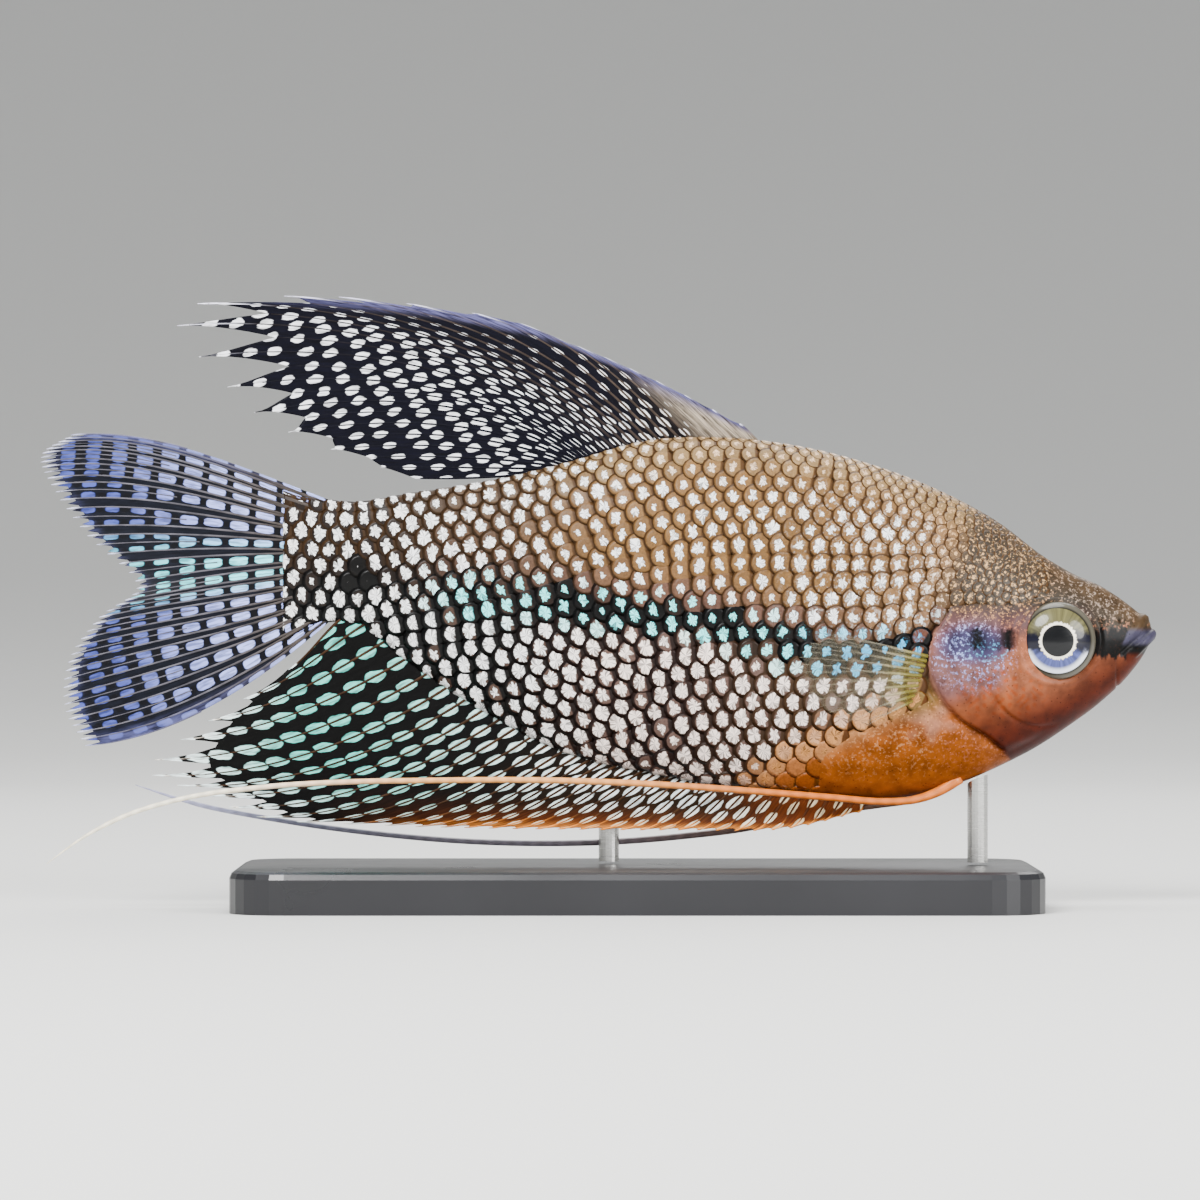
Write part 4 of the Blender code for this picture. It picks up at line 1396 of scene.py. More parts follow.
@dataclass
class Skin:
    """The one skin of the fish: head, jaw, gill covers, trunk and tail stalk.

    Attributes:
        under_scales: How far inside the solids it lies below the scales.
        bare: How far inside it lies on the bare head.
        voxel: Size of its faces.
        coarse: Part of the trunk's faces that stay.
        upper_lip: Half of the upper lip's path, (x, y, z), from the front to the left corner.
        upper_lip_radius: Radius of the upper lip at the front.
        lower_lip: Half of the lower lip's path.
        lower_lip_radius: Radius of the lower lip at the front.
        lip_end_share: Radius of a lip at its corner, as a part of that at the front.
        mouth: Line between the lips, from the front to the left corner.
        nostrils: Place (x, z) and radius of each nostril.
        cheek: Oval of the fold on the cheek, its centre and half sizes along x and z.
        jaw: Oval of the fold behind the lips, given in the same way.
        head_x: Where the head's own shapes may start.
        trunk_x: Where the scales hide the whole skin to the rear.
        rings: Rings of the loft.
        sides: Corners of each ring.
    """

    under_scales: float = 0.2
    bare: float = 0.04
    voxel: float = 0.2
    coarse: float = 0.42
    upper_lip: tuple = ((58.45, 0.0, 30.95), (58.0, 1.0, 30.55), (57.1, 1.85, 29.6), (56.2, 2.2, 28.2))
    upper_lip_radius: float = 0.7
    lower_lip: tuple = ((59.0, 0.0, 29.4), (58.6, 0.9, 29.05), (57.9, 1.6, 28.2), (57.2, 1.85, 27.0))
    lower_lip_radius: float = 0.94
    lip_end_share: float = 0.4
    mouth: tuple = (
        (59.6, 0.0, 30.2), (59.2, 1.0, 29.95), (58.2, 2.0, 29.2), (57.0, 2.5, 28.3), (55.9, 2.9, 27.3),
    )
    nostrils: tuple = ((53.7, 30.7, 0.45), (55.7, 30.75, 0.3))
    cheek: tuple = (47.2, 27.6, 6.6, 8.2)
    jaw: tuple = (56.4, 25.6, 1.0, 3.2)
    head_x: float = 30.0
    trunk_x: float = 31.0
    rings: int = 150
    sides: int = 96

    def lip(self, name: str, half_path: tuple, radius: float) -> bpy.types.Object:
        """Make one lip.

        Args:
            name: Name of the helper piece.
            half_path: Path from the front of the mouth to its left corner.
            radius: Radius at the front.

        Returns:
            Tube from corner to corner.
        """
        part = np.linspace(0, 1, 24)
        left = smooth(np.linspace(0, 1, len(half_path)), half_path, part)
        path = np.concatenate(((left[1:] * (1, -1, 1))[::-1], left))
        shrink = 1 - (1 - self.lip_end_share) * np.concatenate((part[:0:-1], part)) ** 3
        return loft(name, tube_rings(path, radius * shrink, 16))

    def core(self) -> bpy.types.Object:
        """Loft the body without its lips and sockets."""
        places = np.linspace(0, 1, self.rings) ** 0.8
        x = FORM.tail_x + (FORM.snout_x - FORM.tail_x) * places
        turns = np.linspace(0, 2 * math.pi, self.sides, endpoint=False)
        rings = [FORM.surface(at, turns, self.bare + 0.06) for at in x]
        last = rings[-1]
        centre = last.mean(axis=0)
        for scale, ahead in ((0.8, 0.16), (0.5, 0.28), (0.2, 0.32)):
            rings.append(centre + (last - centre) * scale + (ahead, 0, 0))
        return loft("skin", np.array(rings))

    def shape(self, skin: bpy.types.Object) -> None:
        """Press the gill cover, its edge and the other folds of the head into the skin."""
        points = points_of(skin)
        normals = normals_of(skin)
        x, y, z = points.T
        sunk = HEAD.sunk(x, z)
        push = -(self.under_scales - self.bare) * HEAD.scaled(x, z) * (1 - sunk)
        near = x > self.head_x
        gap = np.full(len(x), -9.0)
        gap[near] = HEAD.ahead(x[near], z[near])
        side = ease(z, 15.0, 18.5) * ease(z, 33.0, 30.0) * ease(np.abs(y), 2.0, 3.2)
        cover = 0.34 * ease(gap, -0.1, 0.35) * ease(gap, 6.0, 1.5)
        slit = -0.42 * bell(gap, -0.35, 0.4)
        push += side * (cover + slit)
        ring = from_centre(x, z, self.cheek)
        fold = -0.16 * bell(ring, 1.0, 0.03) + 0.1 * ease(ring, 0.99, 0.93) * ease(ring, 0.6, 0.9)
        push += fold * ease(x, 50.0, 45.5) * ease(z, 29.5, 27.0) * ease(z, 17.5, 19.5)
        eye = np.hypot(x - HEAD.eye[0], z - HEAD.eye[2])
        push += 0.2 * bell(eye, HEAD.eye_radius + 0.45, 0.32) * (np.abs(y) > 2)
        jaw = from_centre(x, z, self.jaw)
        push -= 0.14 * bell(jaw, 1.0, 0.12) * ease(x, 57.0, 56.0) * ease(z, 28.0, 27.0)
        push -= 0.3 * self.line_share(x, y, z, self.mouth, 0.3)
        for hole_x, hole_z, radius in self.nostrils:
            away = np.hypot(x - hole_x, z - hole_z) / radius
            push += (0.12 * bell(away, 1.35, 0.3) - 0.5 * ease(away, 1.0, 0.3)) * (x < 57)
        set_points(skin, points + normals * push[:, None])

    def build(self) -> bpy.types.Object:
        """Make, shape and paint the skin."""
        skin = self.core()
        lips = [
            self.lip("upper_lip", self.upper_lip, self.upper_lip_radius),
            self.lip("lower_lip", self.lower_lip, self.lower_lip_radius),
        ]
        activate(skin)
        for lip in lips:
            lip.select_set(True)
        bpy.ops.object.join()
        modify(skin, "REMESH", mode="VOXEL", voxel_size=self.voxel * MM, use_smooth_shade=True)
        modify(skin, "SMOOTH", factor=0.5, iterations=5)
        self.shape(skin)
        self.thin_trunk(skin)
        for side in Side:
            socket = ball("socket", side, (0.02, 0.1), 64)
            modify(skin, "BOOLEAN", operation="DIFFERENCE", object=socket, solver="EXACT")
            bpy.data.objects.remove(socket, do_unlink=True)
        self.paint(skin)
        return skin

    def thin_trunk(self, skin: bpy.types.Object) -> None:
        """Lower the number of faces where the scales hide the skin."""
        group = skin.vertex_groups.new(name="trunk")
        x = points_of(skin)[:, 0]
        group.add(np.flatnonzero(x < self.trunk_x).tolist(), 1.0, "REPLACE")
        modify(skin, "DECIMATE", ratio=self.coarse, vertex_group=group.name)
        LOG.info("skin: %d faces", len(skin.data.polygons))

    def paint(self, skin: bpy.types.Object) -> None:
        """Give the skin its markings."""
        x, y, z = points_of(skin).T
        scaled = HEAD.scaled(x, z)
        head = MARKS.head(x, z)
        gap = np.where(x > self.head_x, x - HEAD.cut_x(z), -9.0)
        nape = ease(z, 31.5, 34.0)
        sunk = HEAD.sunk(x, z)
        behind = blend(MARKS.ground(x, z), MARKS.net(x, z), 0.55 * (1 - sunk))
        behind[:, 3] = 1.0
        bare = blend(behind, head, ease(gap, -0.6, 0.2))
        colour = blend(bare, behind, (scaled & (gap < 0)).astype(float))
        colour = blend(colour, head * (0.8 + 0.2 * sunk[:, None]), scaled * (gap > 0) * nape)
        lip = self.lip_share(x, y, z)
        lip_colour = blend(Paint.MASK.rgba, Paint.LIP_GREY.rgba, ease(z, 27.9, 28.6))
        lip_colour = blend(lip_colour, Paint.NAPE_GREY.rgba, ease(z, 29.5, 30.1))
        lip_colour = blend(lip_colour, Paint.THROAT.rgba, ease(z, 27.5, 26.9))
        colour = blend(colour, lip_colour, lip * 0.9)
        colour = blend(colour, Paint.MASK.rgba, 0.9 * self.line_share(x, y, z, self.mouth, 0.26))
        edge = bell(gap, 0.0, 0.14) * ease(z, 21.0, 23.0) * ease(z, 31.0, 29.5)
        colour = blend(colour, Paint.CREAM_PINK.rgba, edge * 0.5)
        colour[:, 3] = 1.0
        paint(skin, "ground", colour)
        fleck = MARKS.fleck(x, z)
        on_head = ease(gap, -0.5, 0.5) * (1 - lip)
        on_breast = 0.75 * sunk * ease(gap, 0.5, -0.5) * ease(z, 11.5, 19.0)
        fleck[:, 3] = fleck[:, 3] * on_head + on_breast
        paint(skin, "fleck", fleck)

    def line_share(self, x: Array, y: Array, z: Array, line: tuple, reach: float) -> Array:
        """How close each place lies to a line on the left side or to its mirror image.

        Args:
            x: X of each place.
            y: Y of each place.
            z: Z of each place.
            line: Points of the line.
            reach: Distance within which it counts.

        Returns:
            1 on the line, 0 away from it.
        """
        path = smooth(np.arange(len(line)), line, np.linspace(0, len(line) - 1, 40))
        share = np.zeros(len(x))
        near = x > min(point[0] for point in line) - 2
        places = np.column_stack((x, np.abs(y), z))[near]
        away = np.linalg.norm(places[:, None] - path[None], axis=2).min(axis=1)
        share[near] = bell(away, 0.0, reach)
        return share

    def lip_share(self, x: Array, y: Array, z: Array) -> Array:
        """How much each place belongs to a lip."""
        part = np.linspace(0, 1, 30)
        nearest = np.full(len(x), 9.0)
        near = x > 54
        places = np.column_stack((x, np.abs(y), z))[near]
        upper = (self.upper_lip, self.upper_lip_radius)
        lower = (self.lower_lip, self.lower_lip_radius)
        for half_path, radius in (upper, lower):
            path = smooth(np.linspace(0, 1, len(half_path)), half_path, part)
            away = np.linalg.norm(places[:, None] - path[None], axis=2).min(axis=1) / radius
            nearest[near] = np.minimum(nearest[near], away)
        return ease(nearest, 1.2, 1.0)


@dataclass
class ScaleCoat:
    """The overlapping scales of one side.

    Attributes:
        side: Which side of the fish.
        along: Distance between scales of a row, on the flank.
        rows: Distance between rows, on the flank.
        radius: Radius of a scale, as a part of the distance between scales.
        corners: Corners of a scale's outline.
        thickness: Thickness of a scale at its edge.
        rounds: How often crowded scales are pushed apart.
        spacing: Distance that they are pushed to, as a part of that along a row.
        sizes: Size of the scales along the body: x, size on the flank, size at the middle of
            the back, and how far down from it the second reaches.
    """

    side: Side
    along: float = 2.15
    rows: float = 1.85
    radius: float = 0.655
    corners: int = 14
    thickness: float = 0.08
    rounds: int = 9
    spacing: float = 0.98
    sizes: tuple = (
        (-30.0, 0.95, 0.8, 2.0), (0.0, 1.0, 0.72, 2.2), (14.0, 1.0, 0.6, 3.0),
        (24.0, 1.0, 0.56, 4.2), (32.0, 0.95, 0.53, 6.5), (38.0, 0.72, 0.5, 9.0),
        (43.0, 0.52, 0.46, 12.0), (50.0, 0.42, 0.40, 14.0), (58.0, 0.3, 0.3, 14.0),
    )

    def size(self, x: Array, down: Array) -> Array:
        """Size of the scales, as a part of those on the flank."""
        table = np.array(self.sizes)
        flank, ridge, reach = np.moveaxis(smooth(table[:, 0], table[:, 1:], x), -1, 0)
        return flank + (ridge - flank) * bell(down, 0.0, reach)

    def places(self) -> Array:
        """Find the scales' places.

        Returns:
            X, distance down and size of each scale.
        """
        grid = np.arange(FORM.tail_x + 0.3, 57.5, 0.25)
        down = 0.45 * self.rows * self.size(grid, np.zeros_like(grid))
        found = []
        row = 0
        while (down < GIRTH.total(grid) - 0.3).any():
            x = grid[0] + (0.5 * self.along if row % 2 else 0.0)
            while x < grid[-1]:
                here = float(np.interp(x, grid, down))
                size = float(self.size(x, here))
                if here < GIRTH.total(x) - 0.3:
                    found.append((x, here, size))
                ahead = GIRTH.slopes(np.array(x), np.array(here))[0]
                x += self.along * size / float(np.linalg.norm(ahead))
            down = down + self.rows * self.size(grid, down)
            row += 1
        return self.relax(np.array(found))

    def relax(self, places: Array) -> Array:
        """Push crowded scales apart until all lie about evenly.

        Args:
            places: X, distance down and size of each scale.

        Returns:
            The same, moved.
        """
        x, down, size = places.T
        for _ in range(self.rounds):
            here = GIRTH.point(x, down)
            ahead, below = GIRTH.slopes(x, down)
            apart = here[:, None] - here[None]
            length = np.linalg.norm(apart, axis=2) + 9 * np.eye(len(x))
            wanted = self.along * self.spacing * (size[:, None] + size[None]) / 2
            push = np.maximum(wanted - length, 0) / length
            move = 0.25 * (apart * push[..., None]).sum(axis=1)
            aa, bb, ab = (ahead**2).sum(1), (below**2).sum(1), (ahead * below).sum(1)
            ma, mb = (move * ahead).sum(1), (move * below).sum(1)
            free = aa * bb - ab**2 + 1e-6
            x = np.clip(x + (ma * bb - mb * ab) / free, FORM.tail_x + 0.2, 57.3)
            down = down + (mb * aa - ma * ab) / free
            size = self.size(x, down)
            down = np.clip(down, 0.4 * self.rows * size, GIRTH.total(x) - 0.4 * self.rows * size)
        return np.column_stack((x, down, size))

    def template(self) -> tuple[Array, list]:
        """Model one scale, flat and of radius 1.

        Returns:
            Its points, with the underside at z -1, and its faces.
        """
        deselect()
        bpy.ops.mesh.primitive_circle_add(vertices=self.corners, radius=1, fill_type="NGON")
        obj = bpy.context.object
        bpy.ops.object.mode_set(mode="EDIT")
        bpy.ops.mesh.select_all(action="SELECT")
        bpy.ops.mesh.inset(thickness=0.33)
        bpy.ops.mesh.poke()
        bpy.ops.object.mode_set(mode="OBJECT")
        top = np.array([v.co[:] for v in obj.data.vertices])
        faces = [list(face.vertices) for face in obj.data.polygons]
        bpy.data.objects.remove(obj, do_unlink=True)
        rim = np.flatnonzero(np.hypot(top[:, 0], top[:, 1]) > 0.95)
        rim = rim[np.argsort(np.arctan2(top[rim, 1], top[rim, 0]))]
        under = len(top) + np.arange(len(rim))
        points = np.concatenate((top, top[rim] * (0.9, 0.9, 1) - (0, 0, 1)))
        for k in range(len(rim)):
            after = (k + 1) % len(rim)
            faces.append([int(rim[after]), int(rim[k]), int(under[k]), int(under[after])])
        faces.append([int(v) for v in under[::-1]])
        return points, faces

    def build(self) -> bpy.types.Object:
        """Set every scale on the body and give it its markings."""
        places = self.places()
        points, faces = self.template()
        x, down, size = places.T
        centre = GIRTH.point(x, down)
        keep = HEAD.scaled(centre[:, 0], centre[:, 2])
        x, down, size, centre = x[keep], down[keep], size[keep], centre[keep]
        draw = np.random.default_rng(20 + self.side.value)
        count = len(x)
        radius = self.along * self.radius * size * draw.uniform(0.97, 1.05, count)
        lean = draw.normal(0, 0.06, count)
        back = points[None, :, 0] * np.cos(lean)[:, None] - points[None, :, 1] * np.sin(lean)[:, None]
        up = points[None, :, 0] * np.sin(lean)[:, None] + points[None, :, 1] * np.cos(lean)[:, None]
        ahead, below = GIRTH.slopes(x, down)
        length = np.linalg.norm(ahead, axis=1)[:, None]
        shear = (ahead * below).sum(axis=1)[:, None] / length
        across = np.sqrt(np.maximum((below**2).sum(axis=1)[:, None] - shear**2, 0.05))
        at_down = down[:, None] - up * radius[:, None] / across
        at_x = x[:, None] - (back - up * shear / across) * radius[:, None] / length
        at_x = np.clip(at_x, FORM.tail_x, FORM.snout_x)
        at_down = np.clip(at_down, 0.02, GIRTH.total(at_x) - 0.02)
        turn = GIRTH.turn(at_x, at_down)
        surface = FORM.surface(at_x, turn)
        outward = FORM.normal(at_x, turn)
        round_share = 1 - np.hypot(points[:, 0], points[:, 1]) ** 2
        flush = 0.95 * ease(MARKS.orange_share(centre[:, 0], centre[:, 2]), 0.1, 0.7)
        flush = np.maximum(flush, 0.4 * ease(x, 36.0, 42.0))
        flush = np.maximum(flush, ease(x, 43.0, 49.5))
        relief = (size * (1 - flush))[:, None]
        tilt = 0.08 * points[None, :, 0] * relief
        dome = 0.045 * round_share[None, :] * relief
        under = np.where(points[:, 2] < -0.5, self.thickness, 0.0)[None, :]
        height = tilt + dome - 0.1 - 0.05 * ease(x, 45.5, 49.5)[:, None] - under
        placed = surface + outward * height[..., None]
        placed[..., 1] *= self.side.value
        step = len(points)
        flip = self.side is Side.RIGHT
        whole = []
        for number in range(count):
            start = number * step
            for face in faces:
                moved = [start + v for v in face]
                whole.append(moved[::-1] if flip else moved)
        coat = mesh_object(f"scales_{self.side.label}", placed.reshape(-1, 3), whole)
        self.mark(coat, points, (x, down, centre), draw)
        return coat

    def mark(self, coat: bpy.types.Object, points: Array, places: tuple, draw: np.random.Generator) -> None:
        """Give every scale its colours, its own place and its patch of the bake.

        Args:
            coat: The joined scales.
            points: Points of one flat scale.
            places: X, distance down and centre of each scale.
            draw: Source of the random variation.
        """
        x, down, centre = places
        count = len(x)
        step = len(points)
        seen_x = centre[:, 0] - 0.3
        z = centre[:, 2]
        jitter = draw.normal(0, 0.25, count)
        ground = MARKS.ground(seen_x, z + jitter)
        net = MARKS.net(seen_x, z + jitter)
        pearl = MARKS.pearl(seen_x, z + jitter)
        on_head = ease(x - HEAD.cut_x(z), -3.0, 1.0)
        ground = blend(ground, MARKS.head(seen_x, z), on_head)
        ground[:, :3] *= draw.uniform(0.86, 1.14, (count, 1))
        ground[:, 3] = 0.8 * np.maximum(on_head, ease(seen_x, 30.0, 38.0))
        ground[:, 3] = np.maximum(ground[:, 3], 0.3 * ease(seen_x, 16.0, 28.0)) * (z > 28.0)
        pearl[:, 3] *= draw.uniform(0.78, 1.15, count)
        small = draw.random(count) < 0.08
        pearl[small, 3] *= 0.55
        net[:, 3] *= draw.uniform(0.75, 1.25, count)
        for name, colours in (("ground", ground), ("net", net), ("pearl", pearl)):
            paint(coat, name, np.repeat(colours, step, axis=0))
        note(coat, "seed", np.repeat(draw.random(count), step))
        flat = np.tile(points[:, :2], (count, 1))
        lay_uv(coat, "ScalePlace", flat)
        span = FORM.snout_x - FORM.tail_x
        root = np.column_stack(((x - FORM.tail_x) / span * 0.94 + 0.03, 0.95 - down / span))
        patch = 0.0015
        lay_uv(coat, "OFBake", np.repeat(root, step, axis=0) + flat * patch)


def ray_path(root: Array, tip: Array, root_turn: Array, tip_turn: Array, places: Array) -> Array:
    """Curved lines from roots to tips, leaving and ending in the given directions.

    Args:
        root: Root of each ray, (x, z).
        tip: Tip of each ray, (x, z).
        root_turn: Direction at each root, in radians.
        tip_turn: Direction at each tip, in radians.
        places: Share of the way along, shape (ray, level).

    Returns:
        Points (x, z), shape (ray, level, 2).
    """
    length = np.linalg.norm(tip - root, axis=1, keepdims=True)
    start = length * np.column_stack((np.cos(root_turn), np.sin(root_turn)))
    end = length * np.column_stack((np.cos(tip_turn), np.sin(tip_turn)))
    v = places[..., None]
    rise = v**2 * (3 - 2 * v)
    pulls = start[:, None] * v * (1 - v) ** 2 + end[:, None] * v**2 * (v - 1)
    return root[:, None] * (1 - rise) + tip[:, None] * rise + pulls


@dataclass
class FinForm:
    """One fin: a thin membrane carried by fine branched rays.

    Attributes:
        name: Name of the CAD node that it stands for.
        keys: Key rays, as the solids have them: share of the way along the fin, place of the
            root, tip (x, z), directions at root and tip in degrees, and free part of the ray.
        rays: Number of rays.
        period: Distance between the spots of a ray.
        bend: Sideways wave of the fin's edge.
        sink: How far the roots run into the body.
        free_share: Free part of the rays, as a part of the solids'.
        edge_tips: Tips of the edge for each ray.
        branches: Branching places, as shares of the ray, each splitting every line in two.
        levels: Rings along a ray.
        columns: Columns between two rays.
        ray_radius: Radius of a ray at its root and at its tip.
        half: Half of the membrane's thickness.
        nominal: Usual distance between the rows of spots.
        paired: First ray behind which only every second ray has a free tip.
    """

    name: str
    keys: tuple
    rays: int
    period: float
    bend: float
    sink: float = 0.7
    free_share: float = 1.0
    edge_tips: int = 1
    branches: tuple = ()
    levels: int = 64
    columns: int = 6
    ray_radius: tuple = (0.2, 0.09)
    half: float = 0.07
    nominal: float = 1.45
    paired: int = 99

    def place(self, u: Array) -> Array:
        """Share of the way from the first ray to the last at ray numbers u."""
        return np.clip(u / (self.rays - 1), 0, 1)

    def beside(self, u: Array) -> Array:
        """How far the edge at ray numbers u lies from the nearest free tip, 0 to 1."""
        tips = np.minimum(u, self.paired) + np.maximum(u - self.paired, 0) / 2
        return np.abs((tips * self.edge_tips + 0.5) % 1 - 0.5) * 2

    def spread(self, u: Array, v: Array) -> Array:
        """Distance between two rows of spots, as a part of the usual."""
        step = 0.2
        low = np.clip(u - step, 0, self.rays - 1)
        high = np.clip(u + step, 0, self.rays - 1)
        gap = np.linalg.norm(self.lines(high, v) - self.lines(low, v), axis=-1)
        return np.clip(gap / (high - low) / self.nominal, 0.75, 4.0)

    def key(self, u: Array) -> Array:
        """Read the key rays at ray numbers u."""
        table = np.array(self.keys, float)
        return smooth(table[:, 0], table[:, 1:], self.place(u))

    def root(self, key: Array) -> Array:
        """Roots (x, z) of rays, from their keys."""
        raise NotImplementedError

    def lines(self, u: Array, v: Array) -> Array:
        """Follow rays through the fin.

        Args:
            u: Ray number at each place, shape (ray, level).
            v: Share of the way to the tip, the same shape.

        Returns:
            Points (x, y, z), shape (ray, level, 3).
        """
        flat_u = u.ravel()
        key = self.key(flat_u)
        root_turn, tip_turn = np.radians(key[:, -3]), np.radians(key[:, -2])
        root = self.root(key)
        tip = key[:, -5:-3]
        flat = ray_path(root, tip, root_turn, tip_turn, v.ravel()[:, None])[:, 0]
        y = self.sway(flat_u, v.ravel(), flat)
        return np.column_stack((flat[:, 0], y, flat[:, 1])).reshape(*u.shape, 3)

    def sway(self, u: Array, v: Array, flat: Array) -> Array:
        """Sideways place of points of the fin."""
        return self.bend * np.sin(2 * math.pi * self.place(u)) * v**2

    def where(self, obj: bpy.types.Object) -> tuple[Array, Array, Array]:
        """Read where the points of a piece lie.

        Args:
            obj: Membrane or rays.

        Returns:
            Share of the way from the first ray to the last, share of the way to the tips, and x.
        """
        return self.place(read_note(obj, "ray")), read_note(obj, "out"), points_of(obj)[:, 0]

    def run(self, points: Array) -> Array:
        """Distance along each line, in periods of the spots."""
        steps = np.linalg.norm(np.diff(points, axis=1), axis=2)
        return np.concatenate((np.zeros((len(points), 1)), np.cumsum(steps, axis=1)), axis=1) / self.period

    def membrane(self) -> tuple[Array, Array, Array, Array]:
        """Lay out the membrane.

        Returns:
            Its points, and ray number, run and share of the way at each.
        """
        u = np.linspace(0, self.rays - 1, (self.rays - 1) * self.columns * self.edge_tips + 1)
        free = self.key(u)[:, -1] * self.free_share
        reach = 1 - free * self.beside(u) ** 0.7 - 0.015
        v = np.linspace(0, 1, self.levels)[None, :] ** 0.9 * reach[:, None]
        u = np.repeat(u[:, None], self.levels, axis=1)
        points = self.lines(u, v)
        return points, u, self.run(points), v

    def sheet(self) -> bpy.types.Object:
        """Make the membrane as a closed thin sheet."""
        points, u, run, v = self.membrane()
        columns, levels, _ = points.shape
        deselect()
        bpy.ops.mesh.primitive_grid_add(x_subdivisions=levels - 1, y_subdivisions=columns - 1, size=1)
        obj = bpy.context.object
        obj.name = self.name + "_membrane"
        set_points(obj, points.reshape(-1, 3))
        lay_uv(obj, "RayPlace", np.column_stack((u.ravel(), run.ravel())))
        note(obj, "ray", u.ravel())
        note(obj, "out", v.ravel())
        note(obj, "spread", self.spread(u, v).ravel())
        modify(obj, "SOLIDIFY", thickness=2 * self.half * MM, offset=0.0)
        return obj

    def ray_lines(self) -> list:
        """List the lines of all rays and branches.

        Returns:
            Ray number and share of the way along each line, with its radii.
        """
        found = []
        root_radius, tip_radius = self.ray_radius
        starts = (0.0,) + self.branches + (1.0,)
        for ray in range(self.rays):
            free = float(self.key(np.array(float(ray)))[-1]) * self.free_share
            end = 1.0 if self.beside(np.array(float(ray))) < 0.5 else 0.98 - free
            twigs = [0.0]
            for order in range(len(starts) - 1):
                v = np.linspace(starts[order], starts[order + 1], 30 if order == len(starts) - 2 else 16)
                split = 0.0 if order == 0 else 0.25 / order
                grown = []
                for twig in twigs:
                    for sign in (-1, 1) if split else (0,):
                        target = twig + sign * split
                        part = ease(v, starts[order], starts[order] + 0.3) if split else np.zeros_like(v)
                        u = ray + twig + (target - twig) * part
                        radius = root_radius + (tip_radius - root_radius) * v**0.8
                        found.append((np.clip(u, 0, self.rays - 1), v * end, radius / (1 + 0.25 * order)))
                        grown.append(float(target if split else twig))
                twigs = sorted(set(grown))
        return found

    def ray_piece(self) -> bpy.types.Object:
        """Make all rays as one mesh of fine tapered tubes."""
        sides = 6
        all_points, all_faces, places, shares = [], [], [], []
        start = 0
        for u, v, radii in self.ray_lines():
            path = self.lines(u[None], v[None])
            run = self.run(path)[0]
            if v[0] > 0:
                before = np.linspace(0, v[0], 20)[None]
                run = run + self.run(self.lines(np.full_like(before, u[0]), before))[0, -1]
            rings = tube_rings(path[0], radii * np.where(v > 0.985, 0.35, 1.0), sides)
            count = len(rings)
            all_points.append(rings.reshape(-1, 3))
            for ring in range(count - 1):
                a = start + ring * sides
                for side in range(sides):
                    after = (side + 1) % sides
                    all_faces.append((a + side, a + after, a + sides + after, a + sides + side))
            all_faces.append(tuple(start + k for k in range(sides))[::-1])
            all_faces.append(tuple(start + (count - 1) * sides + k for k in range(sides)))
            places.append(np.repeat(np.column_stack((u, run)), sides, axis=0))
            shares.append(np.repeat(v, sides))
            start += count * sides
        obj = mesh_object(self.name + "_rays", np.concatenate(all_points), all_faces)
        places = np.concatenate(places)
        lay_uv(obj, "RayPlace", places)
        note(obj, "ray", places[:, 0])
        note(obj, "out", np.concatenate(shares))
        note(obj, "spread", np.ones(len(places)))
        activate(obj)
        bpy.ops.object.mode_set(mode="EDIT")
        bpy.ops.mesh.select_all(action="SELECT")
        bpy.ops.mesh.normals_make_consistent(inside=False)
        bpy.ops.object.mode_set(mode="OBJECT")
        return obj

    def parted(self, out: Array) -> Array:
        """How far the two halves of a row of spots lie from its middle, in rows."""
        return 0.24 * ease(out, 0.5, 0.78)

    def colours(self, obj: bpy.types.Object, of_rays: bool) -> tuple[Array, Array, Array]:
        """Choose the colours at the points of a piece.

        Args:
            obj: Membrane or rays.
            of_rays: Whether it is the rays.

        Returns:
            Ground; spots, with their size as alpha; streaks, with their strength as alpha.
        """
        raise NotImplementedError

    def build(self, finish: FinFinish, slot: str) -> None:
        """Make and dress the fin.

        Args:
            finish: Finish of its membrane and rays.
            slot: Name of its finish slot.
        """
        material = finish.material()
        sheet = self.sheet()
        rays = self.ray_piece()
        if finish.splits:
            for obj in (sheet, rays):
                note(obj, "parted", self.parted(read_note(obj, "out")))
        for obj, of_rays in ((sheet, False), (rays, True)):
            for name, colours in zip(("ground", "spot", "blade"), self.colours(obj, of_rays)):
                paint(obj, name, colours)
        dress(sheet, material, slot, self.name)
        dress(rays, material, slot)


